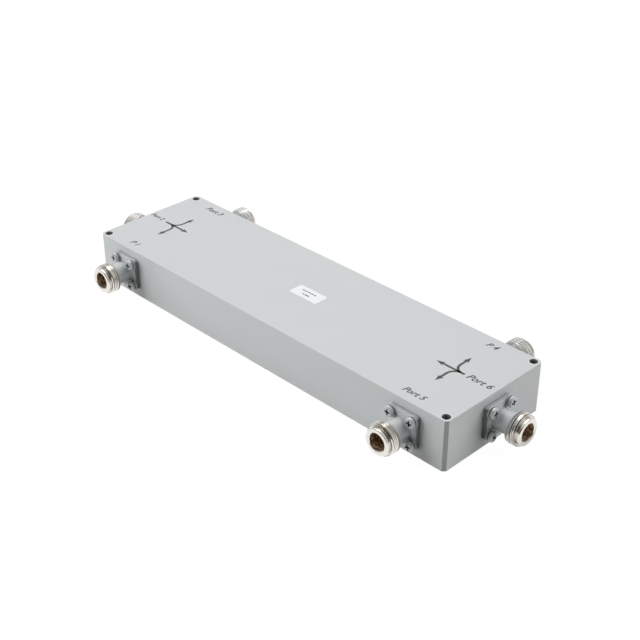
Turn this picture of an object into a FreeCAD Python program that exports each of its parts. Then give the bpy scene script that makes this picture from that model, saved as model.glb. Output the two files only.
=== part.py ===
# Six-port directional coupler with type N jacks, in millimetres, +Z up.
# The origin is the centre of the housing's footprint, on the face that it rests on.

import FreeCAD, Part

import math
import os

import Sketcher
from FreeCAD import Rotation, Vector

doc = FreeCAD.newDocument("DirectionalCoupler")


# Driving dimensions, one named value for each size that can be set by itself

SIZES = [
    ("housing_length", 248.0),
    ("housing_width", 68.0),
    ("housing_height", 27.0),
    ("housing_corner_radius", 1.0),
    ("top_edge_break", 0.3),
    ("base_edge_break", 0.5),
    ("side_wall", 14.0),
    ("end_wall", 14.0),
    ("roof_thickness", 4.0),
    ("cavity_corner_radius", 3.0),
    ("mount_hole_diameter", 4.2),
    ("mount_hole_inset", 3.1),
    ("cover_thickness", 2.5),
    ("cover_ledge", 7.0),
    ("cover_corner_radius", 4.0),
    ("cover_screw_inset", 3.5),
    ("cover_screw_pitch", 30.0),
    ("cover_screw_diameter", 2.5),
    ("cover_screw_length", 5.0),
    ("cover_head_diameter", 4.7),
    ("cover_head_rim", 0.25),
    ("cover_tap_depth", 6.0),
    ("cover_recess_span", 2.5),
    ("cover_recess_width", 0.6),
    ("cover_recess_depth", 0.7),
    ("port_height", 13.75),
    ("side_port_inset", 23.5),
    ("flange_side", 17.5),
    ("flange_thickness", 2.5),
    ("flange_corner_radius", 1.5),
    ("flange_hole_pitch", 12.7),
    ("flange_hole_diameter", 3.2),
    ("neck_diameter", 10.8),
    ("thread_start", 11.2),
    ("thread_length", 5.5),
    ("thread_diameter", 15.88),
    ("thread_rear_edge", 0.6),
    ("thread_front_edge", 0.45),
    ("relief_width", 0.8),
    ("relief_diameter", 12.4),
    ("nose_length", 1.1),
    ("nose_diameter", 13.4),
    ("nose_edge_break", 0.5),
    ("mouth_diameter", 8.9),
    ("mouth_depth", 8.5),
    ("mouth_edge_break", 0.35),
    ("line_bore_diameter", 7.0),
    ("insulator_head_diameter", 8.6),
    ("insulator_head_length", 2.0),
    ("insulator_recess", 0.6),
    ("contact_diameter", 3.04),
    ("contact_setback", 4.2),
    ("contact_edge_break", 0.3),
    ("socket_diameter", 1.7),
    ("socket_depth", 5.5),
    ("slit_width", 0.4),
    ("slit_length", 4.5),
    ("pin_stub", 0.5),
    ("screw_diameter", 3.0),
    ("screw_length", 12.0),
    ("screw_head_diameter", 5.6),
    ("screw_head_height", 1.6),
    ("screw_head_round", 1.0),
    ("screw_recess_span", 3.2),
    ("screw_recess_width", 0.9),
    ("screw_recess_depth", 1.1),
    ("tap_clearance", 1.3),
    ("flat_washer_diameter", 6.2),
    ("flat_washer_thickness", 0.5),
    ("spring_washer_diameter", 5.3),
    ("spring_washer_thickness", 0.7),
    ("spring_washer_gap", 0.5),
    ("washer_bore", 3.2),
    ("main_line_diameter", 11.0),
    ("main_line_end_gap", 4.0),
    ("main_line_socket_depth", 7.0),
    ("coupled_line_offset", 15.0),
    ("coupled_line_thickness", 1.5),
    ("coupled_line_depth", 6.0),
    ("coupled_line_margin", 3.5),
    ("support_thickness", 4.0),
    ("support_pitch", 60.0),
    ("label_length", 19.0),
    ("label_width", 9.0),
    ("label_thickness", 0.2),
    ("label_corner_radius", 1.2),
    ("label_shift", 4.1),
]

SHEET_NAME = "Sizes"
COVER_SCREW_PAIRS = 3
SUPPORT_COUNT = 3


class Size:
    """A length that keeps the formula that binds it to the sheet beside its present value."""

    def __init__(self, text, value):
        self.text = text
        self.value = value

    def join(self, other, sign, result):
        other_text = other.text if isinstance(other, Size) else str(other)
        return Size("(" + self.text + " " + sign + " " + other_text + ")", result)

    def __add__(self, other):
        return self.join(other, "+", self.value + number(other))

    def __sub__(self, other):
        return self.join(other, "-", self.value - number(other))

    def __mul__(self, other):
        return self.join(other, "*", self.value * number(other))

    def __truediv__(self, other):
        return self.join(other, "/", self.value / number(other))

    def __neg__(self):
        return self * -1


def number(size):
    """The present value of a Size, or a plain number as it is."""
    return size.value if isinstance(size, Size) else size


def make_sheet():
    """Writes the driving dimensions into the sheet and returns them as Size values by name."""
    sheet = doc.addObject("Spreadsheet::Sheet", SHEET_NAME)
    named = {}
    for row, (alias, value) in enumerate(SIZES, start=1):
        sheet.set("A%d" % row, alias)
        sheet.set("B%d" % row, str(value))
        sheet.setAlias("B%d" % row, alias)
        named[alias] = Size(SHEET_NAME + "." + alias, value)
    doc.recompute()
    return named


size = make_sheet()


# Sizes that follow from the driving dimensions

half_length = size["housing_length"] / 2
half_width = size["housing_width"] / 2
cavity_length = size["housing_length"] - size["end_wall"] * 2
cavity_width = size["housing_width"] - size["side_wall"] * 2
cavity_top = size["housing_height"] - size["roof_thickness"]
cover_length = cavity_length + size["cover_ledge"] * 2
cover_width = cavity_width + size["cover_ledge"] * 2
side_port_place = half_length - size["side_port_inset"]
half_pitch = size["flange_hole_pitch"] / 2
thread_end = size["thread_start"] + size["thread_length"]
nose_start = thread_end + size["relief_width"]
jack_length = nose_start + size["nose_length"]
mouth_floor = jack_length - size["mouth_depth"]
insulator_front = mouth_floor - size["insulator_recess"]
contact_tip = jack_length - size["contact_setback"]
flat_washer_top = size["flange_thickness"] + size["flat_washer_thickness"]
head_seat = flat_washer_top + size["spring_washer_thickness"]
head_top = head_seat + size["screw_head_height"]
screw_tip = size["screw_length"] - head_seat
main_line_half = cavity_length / 2 - size["main_line_end_gap"]
coupled_line_inner_face = size["coupled_line_offset"] - size["coupled_line_thickness"] / 2
coupled_line_half = side_port_place + size["coupled_line_margin"]
end_pin_reach = size["end_wall"] + size["main_line_end_gap"] + size["main_line_socket_depth"]
side_pin_reach = half_width - coupled_line_inner_face + size["pin_stub"]


# Drawing helpers

def add_body(name):
    body = doc.addObject("PartDesign::Body", name)
    body.Label = name
    body.AllowCompound = True
    return body


def origin_feature(body, role):
    for feature in body.Origin.OriginFeatures:
        if feature.Role == role:
            return feature
    raise ValueError("no origin feature " + role)


class Drawing:
    """A sketch on one of a body's origin planes, with every point bound to the sheet."""

    def __init__(self, body, name, plane, across=0, up=0, out=0):
        self.sketch = body.newObject("Sketcher::SketchObject", body.Name + "_" + name)
        self.sketch.AttachmentSupport = [(origin_feature(body, plane), "")]
        self.sketch.MapMode = "FlatFace"
        for axis, shift in (("x", across), ("y", up), ("z", out)):
            if isinstance(shift, Size):
                self.sketch.setExpression("AttachmentOffset.Base." + axis, shift.text)

    def bind_point(self, geometry, position, x, y):
        """Fixes one point of a curve at a place, on an axis where its coordinate is zero."""
        for kind, value, axis in (("DistanceX", x, -2), ("DistanceY", y, -1)):
            if isinstance(value, Size):
                index = self.sketch.addConstraint(
                    Sketcher.Constraint(kind, geometry, position, value.value))
                self.sketch.setExpression("Constraints[%d]" % index, value.text)
            else:
                self.sketch.addConstraint(
                    Sketcher.Constraint("PointOnObject", geometry, position, axis))

    def outline(self, corners):
        """A closed outline, anticlockwise. A corner is (x, y), reached by a straight edge,
        or (x, y, centre_x, centre_y), reached by an arc about that centre."""
        first = self.sketch.GeometryCount
        count = len(corners)
        for index, corner in enumerate(corners):
            before = corners[index - 1]
            start = Vector(number(before[0]), number(before[1]), 0)
            end = Vector(number(corner[0]), number(corner[1]), 0)
            if len(corner) == 2:
                curve = Part.LineSegment(start, end)
            else:
                centre = Vector(number(corner[2]), number(corner[3]), 0)
                circle = Part.Circle(centre, Vector(0, 0, 1), start.distanceToPoint(centre))
                angles = [math.atan2(point.y - centre.y, point.x - centre.x)
                          for point in (start, end)]
                if angles[1] <= angles[0]:
                    angles[1] += 2 * math.pi
                curve = Part.ArcOfCircle(circle, angles[0], angles[1])
            self.sketch.addGeometry(curve, False)
        for index, corner in enumerate(corners):
            this_curve = first + index
            next_curve = first + (index + 1) % count
            self.sketch.addConstraint(
                Sketcher.Constraint("Coincident", this_curve, 2, next_curve, 1))
            self.bind_point(this_curve, 2, corner[0], corner[1])
            if len(corner) == 4:
                index = self.sketch.addConstraint(
                    Sketcher.Constraint("DistanceX", this_curve, 3, number(corner[2])))
                self.sketch.setExpression("Constraints[%d]" % index, corner[2].text)
        return self

    def rounded_rectangle(self, length, width, radius, x=None):
        """A rectangle with round corners, centred on the origin or shifted along x."""
        right = length / 2
        left = -right
        if x is not None:
            right = right + x
            left = left + x
        top = width / 2
        bottom = -top
        return self.outline([
            (right - radius, bottom),
            (right, bottom + radius, right - radius, bottom + radius),
            (right, top - radius),
            (right - radius, top, right - radius, top - radius),
            (left + radius, top),
            (left, top - radius, left + radius, top - radius),
            (left, bottom + radius),
            (left + radius, bottom, left + radius, bottom + radius),
        ])

    def rectangle(self, left, bottom, right, top):
        return self.outline([(left, bottom), (right, bottom), (right, top), (left, top)])

    def cross(self, span, width):
        """A plus sign, for cross recesses and for the slits of a socket."""
        far = span / 2
        near = width / 2
        return self.outline([
            (far, -near), (far, near), (near, near), (near, far), (-near, far), (-near, near),
            (-far, near), (-far, -near), (-near, -near), (-near, -far), (near, -far),
            (near, -near),
        ])

    def circle(self, x, y, diameter):
        centre = Vector(number(x), number(y), 0)
        circle = Part.Circle(centre, Vector(0, 0, 1), number(diameter) / 2)
        geometry = self.sketch.addGeometry(circle, False)
        index = self.sketch.addConstraint(
            Sketcher.Constraint("Diameter", geometry, number(diameter)))
        self.sketch.setExpression("Constraints[%d]" % index, diameter.text)
        self.bind_point(geometry, 3, x, y)
        return self

    def hole_square(self, x, y, diameter):
        """Four circles on the flange's screw pitch about a place."""
        for side in (-1, 1):
            for level in (-1, 1):
                across = half_pitch * side
                up = half_pitch * level
                if isinstance(x, Size):
                    across = x + across
                if isinstance(y, Size):
                    up = y + up
                self.circle(across, up, diameter)
        return self


def add_feature(body, kind, name, drawing):
    feature = body.newObject("PartDesign::" + kind, body.Name + "_" + name)
    feature.Profile = drawing.sketch
    return feature


def pad(body, name, drawing, length, both_ways=False):
    feature = add_feature(body, "Pad", name, drawing)
    feature.SideType = "Symmetric" if both_ways else "One side"
    feature.setExpression("Length", length.text)
    return feature


def pocket(body, name, drawing, depth=None, upward=False, both_ways=False):
    """Cuts to a depth against the sketch's normal, or along it, or right through."""
    feature = add_feature(body, "Pocket", name, drawing)
    feature.Reversed = upward
    if both_ways:
        feature.SideType = "Symmetric"
    if depth is None:
        feature.Type = "ThroughAll"
    else:
        feature.setExpression("Length", depth.text)
    return feature


def revolve(body, name, drawing, cut=False):
    """Turns a drawing about its own vertical axis."""
    feature = add_feature(body, "Groove" if cut else "Revolution", name, drawing)
    feature.ReferenceAxis = (drawing.sketch, ["V_Axis"])
    feature.Angle = 360.0
    return feature


def mirror(body, name, originals, plane):
    feature = body.newObject("PartDesign::Mirrored", body.Name + "_" + name)
    feature.Originals = originals
    feature.MirrorPlane = (origin_feature(body, plane), [""])
    body.Tip = feature
    return feature


def pattern_on_flange(body, originals):
    """Repeats a fastener on the four holes of a flange."""
    feature = body.newObject("PartDesign::PolarPattern", body.Name + "_pattern")
    feature.Originals = originals
    feature.Axis = (origin_feature(body, "Z_Axis"), [""])
    feature.Angle = 360.0
    feature.Occurrences = 4
    body.Tip = feature
    return feature


def break_edges(body, name, base, at_level, amount):
    """Chamfers every edge of a feature that lies wholly at one level on the outside."""
    doc.recompute()
    names = []
    for index, edge in enumerate(base.Shape.Edges, start=1):
        box = edge.BoundBox
        level = abs(box.ZMin - at_level) < 1e-6 and abs(box.ZMax - at_level) < 1e-6
        if level:
            names.append("Edge%d" % index)
    feature = body.newObject("PartDesign::Chamfer", body.Name + "_" + name)
    feature.Base = (base, names)
    feature.setExpression("Size", amount.text)
    return feature


# Housing, milled from one block and open below

def make_housing():
    body = add_body("housing")
    block = Drawing(body, "block", "XY_Plane").rounded_rectangle(
        size["housing_length"], size["housing_width"], size["housing_corner_radius"])
    block_pad = pad(body, "block_pad", block, size["housing_height"])
    top_break = break_edges(body, "top_break", block_pad,
                            size["housing_height"].value, size["top_edge_break"])
    break_edges(body, "base_break", top_break, 0.0, size["base_edge_break"])

    seat = Drawing(body, "cover_seat", "XY_Plane").rounded_rectangle(
        cover_length, cover_width, size["cover_corner_radius"])
    pocket(body, "cover_seat_cut", seat, size["cover_thickness"], upward=True)
    cavity = Drawing(body, "cavity", "XY_Plane").rounded_rectangle(
        cavity_length, cavity_width, size["cavity_corner_radius"])
    pocket(body, "cavity_cut", cavity, cavity_top, upward=True)

    mount_holes = Drawing(body, "mount_holes", "XY_Plane")
    for side in (-1, 1):
        for end in (-1, 1):
            mount_holes.circle((half_length - size["mount_hole_inset"]) * end,
                               (half_width - size["mount_hole_inset"]) * side,
                               size["mount_hole_diameter"])
    pocket(body, "mount_holes_cut", mount_holes, upward=True)

    cover_taps = Drawing(body, "cover_taps", "XY_Plane")
    for x, y in cover_screw_places():
        cover_taps.circle(x, y, size["cover_screw_diameter"])
    pocket(body, "cover_taps_cut", cover_taps, size["cover_tap_depth"], upward=True)

    side_bores = Drawing(body, "side_bores", "XZ_Plane")
    for end in (-1, 1):
        side_bores.circle(side_port_place * end, size["port_height"], size["line_bore_diameter"])
    pocket(body, "side_bores_cut", side_bores, both_ways=True)
    end_bores = Drawing(body, "end_bores", "YZ_Plane")
    end_bores.circle(0, size["port_height"], size["line_bore_diameter"])
    pocket(body, "end_bores_cut", end_bores, both_ways=True)

    tap_depth = screw_tip + size["tap_clearance"]
    side_taps = Drawing(body, "side_taps", "XZ_Plane", out=half_width)
    for end in (-1, 1):
        side_taps.hole_square(side_port_place * end, size["port_height"], size["screw_diameter"])
    side_taps_cut = pocket(body, "side_taps_cut", side_taps, tap_depth)
    mirror(body, "side_taps_mirror", [side_taps_cut], "XZ_Plane")
    end_taps = Drawing(body, "end_taps", "YZ_Plane", out=half_length)
    end_taps.hole_square(0, size["port_height"], size["screw_diameter"])
    end_taps_cut = pocket(body, "end_taps_cut", end_taps, tap_depth)
    mirror(body, "end_taps_mirror", [end_taps_cut], "YZ_Plane")
    return body


# Cover plate of the underside, with its countersunk screws

def cover_screw_places():
    """The screws in the cover's corners, at the middle of its ends and along its sides."""
    end_place = cover_length / 2 - size["cover_screw_inset"]
    side_place = cover_width / 2 - size["cover_screw_inset"]
    places = []
    for end in (-1, 1):
        places.append((end_place * end, 0))
        for side in (-1, 1):
            places.append((end_place * end, side_place * side))
            for step in range(COVER_SCREW_PAIRS):
                places.append((size["cover_screw_pitch"] * (end * (step + 0.5)),
                               side_place * side))
    return places


def make_cover():
    body = add_body("cover_plate")
    plate = Drawing(body, "plate", "XY_Plane").rounded_rectangle(
        cover_length, cover_width, size["cover_corner_radius"])
    pad(body, "plate_pad", plate, size["cover_thickness"])
    holes = Drawing(body, "holes", "XY_Plane")
    heads = Drawing(body, "heads", "XY_Plane")
    for x, y in cover_screw_places():
        holes.circle(x, y, size["cover_screw_diameter"])
        heads.circle(x, y, size["cover_head_diameter"])
    pocket(body, "holes_cut", holes, upward=True)
    pocket(body, "head_rims_cut", heads, size["cover_head_rim"], upward=True)
    for index, (x, y) in enumerate(cover_screw_places()):
        sink = Drawing(body, "sink_%d" % index, "XZ_Plane", across=x, out=-y if y else 0)
        revolve(body, "sink_%d_cut" % index, sink.outline(countersink_profile()), cut=True)
    return body


def countersink_profile():
    """Half section of the cone under a countersunk head, from its rim to its shank."""
    shank = size["cover_screw_diameter"] / 2
    rim = size["cover_head_diameter"] / 2
    level = size["cover_head_rim"]
    return [(0, level), (rim, level), (shank, level + rim - shank), (0, level + rim - shank)]


def make_cover_screws():
    body = add_body("cover_screws")
    shank = size["cover_screw_diameter"] / 2
    rim = size["cover_head_diameter"] / 2
    level = size["cover_head_rim"]
    for index, (x, y) in enumerate(cover_screw_places()):
        section = Drawing(body, "section_%d" % index, "XZ_Plane", across=x, out=-y if y else 0)
        section.outline([
            (0, 0), (rim, 0), (rim, level), (shank, level + rim - shank),
            (shank, size["cover_screw_length"]), (0, size["cover_screw_length"]),
        ])
        revolve(body, "turned_%d" % index, section)
    for index, (x, y) in enumerate(cover_screw_places()):
        recess = Drawing(body, "recess_%d" % index, "XY_Plane", across=x, up=y)
        recess.cross(size["cover_recess_span"], size["cover_recess_width"])
        pocket(body, "recess_%d_cut" % index, recess, size["cover_recess_depth"], upward=True)
    return body


# Lines inside the cavity and the plates that hold them

def make_main_line():
    body = add_body("main_line")
    section = Drawing(body, "section", "YZ_Plane").circle(
        0, size["port_height"], size["main_line_diameter"])
    pad(body, "rod", section, main_line_half * 2, both_ways=True)
    socket = Drawing(body, "socket", "YZ_Plane", out=main_line_half).circle(
        0, size["port_height"], size["contact_diameter"])
    socket_cut = pocket(body, "socket_cut", socket, size["main_line_socket_depth"])
    mirror(body, "socket_mirror", [socket_cut], "YZ_Plane")
    return body


def make_coupled_line(name, side):
    """A flat bar on edge beside the main line, side -1 to the front and 1 to the back."""
    body = add_body(name)
    middle = size["coupled_line_offset"] * side
    bar = Drawing(body, "bar", "XZ_Plane", out=-middle).rectangle(
        -coupled_line_half, size["port_height"] - size["coupled_line_depth"] / 2,
        coupled_line_half, size["port_height"] + size["coupled_line_depth"] / 2)
    pad(body, "bar_pad", bar, size["coupled_line_thickness"], both_ways=True)
    holes = Drawing(body, "pin_holes", "XZ_Plane")
    for end in (-1, 1):
        holes.circle(side_port_place * end, size["port_height"], size["contact_diameter"])
    pocket(body, "pin_holes_cut", holes, both_ways=True)
    return body


def make_support(name, place):
    """A plate across the cavity that all three lines pass through."""
    body = add_body(name)
    plate = Drawing(body, "plate", "YZ_Plane", out=place).rectangle(
        -cavity_width / 2, size["cover_thickness"], cavity_width / 2, cavity_top)
    pad(body, "plate_pad", plate, size["support_thickness"], both_ways=True)
    hole = Drawing(body, "line_hole", "YZ_Plane").circle(
        0, size["port_height"], size["main_line_diameter"])
    pocket(body, "line_hole_cut", hole, both_ways=True)
    slots = Drawing(body, "bar_slots", "YZ_Plane")
    half_bar = size["coupled_line_thickness"] / 2
    for side in (-1, 1):
        middle = size["coupled_line_offset"] * side
        slots.rectangle(middle - half_bar, size["port_height"] - size["coupled_line_depth"] / 2,
                        middle + half_bar, size["port_height"] + size["coupled_line_depth"] / 2)
    pocket(body, "bar_slots_cut", slots, both_ways=True)
    return body


# Jacks, each modelled with its axis along Z and its flange on the plane Z = 0

def make_jack_body(name):
    body = add_body(name)
    flange = Drawing(body, "flange", "XY_Plane").rounded_rectangle(
        size["flange_side"], size["flange_side"], size["flange_corner_radius"])
    pad(body, "flange_pad", flange, size["flange_thickness"])

    neck = size["neck_diameter"] / 2
    thread = size["thread_diameter"] / 2
    relief = size["relief_diameter"] / 2
    nose = size["nose_diameter"] / 2
    rear_edge = size["thread_rear_edge"]
    front_edge = size["thread_front_edge"]
    nose_edge = size["nose_edge_break"]
    barrel = Drawing(body, "barrel", "XZ_Plane").outline([
        (0, size["flange_thickness"]), (neck, size["flange_thickness"]),
        (neck, size["thread_start"]), (thread - rear_edge, size["thread_start"]),
        (thread, size["thread_start"] + rear_edge), (thread, thread_end - front_edge),
        (thread - front_edge, thread_end), (relief, thread_end), (relief, nose_start),
        (nose, nose_start), (nose, jack_length - nose_edge),
        (nose - nose_edge, jack_length), (0, jack_length),
    ])
    revolve(body, "barrel_turned", barrel)

    mouth = size["mouth_diameter"] / 2
    line_bore = size["line_bore_diameter"] / 2
    seat = size["insulator_head_diameter"] / 2
    mouth_edge = size["mouth_edge_break"]
    bore = Drawing(body, "bore", "XZ_Plane").outline([
        (0, 0), (seat, 0), (seat, size["insulator_head_length"]),
        (line_bore, size["insulator_head_length"]),
        (line_bore, mouth_floor), (mouth, mouth_floor), (mouth, jack_length - mouth_edge),
        (mouth + mouth_edge, jack_length), (0, jack_length),
    ])
    revolve(body, "bore_cut", bore, cut=True)

    holes = Drawing(body, "screw_holes", "XY_Plane").hole_square(
        0, 0, size["flange_hole_diameter"])
    pocket(body, "screw_holes_cut", holes, size["flange_thickness"], upward=True)
    return body


def make_insulator(name):
    body = add_body(name)
    contact = size["contact_diameter"] / 2
    head = size["insulator_head_diameter"] / 2
    line_bore = size["line_bore_diameter"] / 2
    section = Drawing(body, "section", "XZ_Plane").outline([
        (contact, 0), (head, 0), (head, size["insulator_head_length"]),
        (line_bore, size["insulator_head_length"]), (line_bore, insulator_front),
        (contact, insulator_front),
    ])
    revolve(body, "turned", section)
    return body


def make_contact(name, pin_reach):
    """The centre contact: a slit socket in front and a pin that reaches the line behind."""
    body = add_body(name)
    outside = size["contact_diameter"] / 2
    inside = size["socket_diameter"] / 2
    edge = size["contact_edge_break"]
    socket_floor = contact_tip - size["socket_depth"]
    section = Drawing(body, "section", "XZ_Plane").outline([
        (0, -pin_reach), (outside - edge, -pin_reach), (outside, edge - pin_reach),
        (outside, contact_tip - edge), (outside - edge, contact_tip), (inside, contact_tip),
        (inside, socket_floor), (0, socket_floor),
    ])
    revolve(body, "turned", section)
    slits = Drawing(body, "slits", "XY_Plane", out=contact_tip).cross(
        size["contact_diameter"] * 2, size["slit_width"])
    pocket(body, "slits_cut", slits, size["slit_length"])
    return body


def make_flange_screws(name):
    body = add_body(name)
    shank = size["screw_diameter"] / 2
    head = size["screw_head_diameter"] / 2
    rounding = size["screw_head_round"]
    section = Drawing(body, "section", "XZ_Plane", across=half_pitch, out=-half_pitch).outline([
        (0, -screw_tip), (shank, -screw_tip), (shank, head_seat), (head, head_seat),
        (head, head_top - rounding),
        (head - rounding, head_top, head - rounding, head_top - rounding),
        (0, head_top),
    ])
    turned = revolve(body, "turned", section)
    recess = Drawing(body, "recess", "XY_Plane", across=half_pitch, up=half_pitch, out=head_top)
    recess.cross(size["screw_recess_span"], size["screw_recess_width"])
    recess_cut = pocket(body, "recess_cut", recess, size["screw_recess_depth"])
    pattern_on_flange(body, [turned, recess_cut])
    return body


def make_flat_washers(name):
    body = add_body(name)
    section = Drawing(body, "section", "XZ_Plane", across=half_pitch, out=-half_pitch)
    section.rectangle(size["washer_bore"] / 2, size["flange_thickness"],
                      size["flat_washer_diameter"] / 2, flat_washer_top)
    pattern_on_flange(body, [revolve(body, "ring", section)])
    return body


def make_spring_washers(name):
    body = add_body(name)
    section = Drawing(body, "section", "XZ_Plane", across=half_pitch, out=-half_pitch)
    section.rectangle(size["washer_bore"] / 2, flat_washer_top,
                      size["spring_washer_diameter"] / 2, head_seat)
    ring = revolve(body, "ring", section)
    gap = Drawing(body, "gap", "XY_Plane", across=half_pitch, up=half_pitch, out=head_seat)
    half_gap = size["spring_washer_gap"] / 2
    gap.rectangle(size["washer_bore"] / 4, -half_gap,
                  size["spring_washer_diameter"], half_gap)
    gap_cut = pocket(body, "gap_cut", gap, size["spring_washer_thickness"])
    pattern_on_flange(body, [ring, gap_cut])
    return body


# Places of the six ports: turn about Z, place along X and place along Y

PORTS = [
    ("port_1", 0.0, -side_port_place, -half_width, side_pin_reach),
    ("port_2", 270.0, -half_length, 0, end_pin_reach),
    ("port_3", 180.0, -side_port_place, half_width, side_pin_reach),
    ("port_4", 180.0, side_port_place, half_width, side_pin_reach),
    ("port_5", 0.0, side_port_place, -half_width, side_pin_reach),
    ("port_6", 90.0, half_length, 0, end_pin_reach),
]


def place_at_port(body, turn, x, y):
    """Stands a piece of a jack on its wall, with its Z axis pointing out of the housing."""
    upright = Rotation(Vector(1, 0, 0), 90)
    body.Placement = FreeCAD.Placement(Vector(0, 0, 0), Rotation(Vector(0, 0, 1), turn) * upright)
    body.setExpression("Placement.Base.z", size["port_height"].text)
    for axis, place in (("x", x), ("y", y)):
        if isinstance(place, Size):
            body.setExpression("Placement.Base." + axis, place.text)


def make_port(name, turn, x, y, pin_reach):
    pieces = [
        make_jack_body(name + "_jack_body"),
        make_insulator(name + "_insulator"),
        make_contact(name + "_centre_contact", pin_reach),
        make_flange_screws(name + "_flange_screws"),
        make_spring_washers(name + "_spring_washers"),
        make_flat_washers(name + "_flat_washers"),
    ]
    for piece in pieces:
        place_at_port(piece, turn, x, y)
    return pieces


# Rating label on the top face, with round corners

def make_label():
    body = add_body("label")
    outline = Drawing(body, "outline", "XY_Plane", out=size["housing_height"])
    outline.rounded_rectangle(size["label_length"], size["label_width"],
                              size["label_corner_radius"], x=size["label_shift"])
    pad(body, "film", outline, size["label_thickness"])
    return body


nodes = [make_housing(), make_cover(), make_cover_screws(), make_main_line()]
nodes.append(make_coupled_line("coupled_line_front", -1))
nodes.append(make_coupled_line("coupled_line_back", 1))
for index in range(SUPPORT_COUNT):
    step = index - (SUPPORT_COUNT - 1) / 2
    nodes.append(make_support("line_support_%d" % (index + 1), size["support_pitch"] * step))
for port in PORTS:
    nodes.extend(make_port(*port))
nodes.append(make_label())

doc.recompute()


# Every object and every piece is tested before anything is written

for item in doc.Objects:
    if "Invalid" in item.State or "Error" in item.State:
        raise RuntimeError("%s did not recompute: %s" % (item.Label, item.State))
for node in nodes:
    if node.Shape.isNull() or not node.Shape.isValid() or not node.Shape.Solids:
        raise RuntimeError("%s has no valid shape" % node.Label)

os.makedirs("parts", exist_ok=True)
for node in nodes:
    node.Shape.exportStep("parts/" + node.Label + ".step")
    print("%-28s %2d solids %10.2f mm3" % (node.Label, len(node.Shape.Solids),
                                           node.Shape.Volume))
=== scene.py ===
"""Directional coupler: a grey milled housing with flanged, threaded coaxial jacks."""

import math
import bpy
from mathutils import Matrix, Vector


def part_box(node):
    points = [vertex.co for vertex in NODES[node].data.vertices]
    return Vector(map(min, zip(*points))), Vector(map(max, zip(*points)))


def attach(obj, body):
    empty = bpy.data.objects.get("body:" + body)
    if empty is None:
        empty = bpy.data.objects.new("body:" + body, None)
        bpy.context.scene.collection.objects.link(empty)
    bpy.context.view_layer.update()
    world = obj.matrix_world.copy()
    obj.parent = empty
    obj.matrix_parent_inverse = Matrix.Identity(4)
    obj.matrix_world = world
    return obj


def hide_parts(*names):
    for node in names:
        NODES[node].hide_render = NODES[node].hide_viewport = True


bl_info = {
    "name": "Directional Coupler",
    "version": (1, 0, 0),
    "blender": (4, 5, 0),
    "location": "3D View > Sidebar > Coupler",
    "description": "Builds the finishes and the fine detail of a coupler around its solid parts",
    "category": "Object",
}

import bmesh
import bpy
from bpy.props import FloatProperty, FloatVectorProperty, IntProperty, PointerProperty
from mathutils import Matrix, Vector

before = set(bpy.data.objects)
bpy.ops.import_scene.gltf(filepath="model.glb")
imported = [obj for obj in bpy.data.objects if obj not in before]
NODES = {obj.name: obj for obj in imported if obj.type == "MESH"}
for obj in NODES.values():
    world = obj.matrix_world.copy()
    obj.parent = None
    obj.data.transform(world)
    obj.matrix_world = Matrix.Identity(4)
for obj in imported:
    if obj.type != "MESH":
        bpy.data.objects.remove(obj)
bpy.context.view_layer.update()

MM = 0.001
BODY = "root"
PORT_NUMBERS = range(1, 7)
HOUSING_LOW, HOUSING_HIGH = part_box("housing")
JACK_LOW, JACK_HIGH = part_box("port_6_jack_body")
LABEL_LOW, LABEL_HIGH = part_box("label")
COVER_LOW, COVER_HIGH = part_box("cover_plate")
TOP = HOUSING_HIGH.z
PORT_HEIGHT = (JACK_LOW.z + JACK_HIGH.z) / 2
JACK_LENGTH = JACK_HIGH.x - HOUSING_HIGH.x
SIDE_PORT = sum(corner.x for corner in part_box("port_5_jack_body")) / 2
FLANGE_SIDE = JACK_HIGH.y - JACK_LOW.y
SMOOTH_ANGLE = math.radians(32)
FLAT_ANGLE = math.radians(0.5)
MERGE_GAP = 0.001 * MM

# The housing's corner holes and upright edges, as in the solids, and the flat cut on the edges
HOLE_INSET = 3.1 * MM
HOLE_RADIUS = 2.1 * MM
CORNER_RADIUS = 1.0 * MM
CORNER_CUT = 1.5 * MM

# Facets round the turned pieces, and the rounding of their finest edges
SCREW_FACETS = 48
COVER_SCREW_FACETS = 40
INSULATOR_FACETS = 64
HOLE_FACETS = 32
SPRING_STEPS = 40
FINE_ROUNDING = 0.12 * MM


# Sizes and colours that a user would change

def length(name, default, description):
    """A length in metres, given in millimetres."""
    return FloatProperty(name=name, description=description, default=default * MM,
                         min=0.0, soft_max=0.5, unit="LENGTH", precision=5)


def colour(name, default, description):
    return FloatVectorProperty(name=name, description=description, default=default,
                               size=3, min=0.0, max=1.0, subtype="COLOR")


def amount(name, default, description, high=10.0):
    return FloatProperty(name=name, description=description, default=default,
                         min=0.0, max=high)


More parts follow.
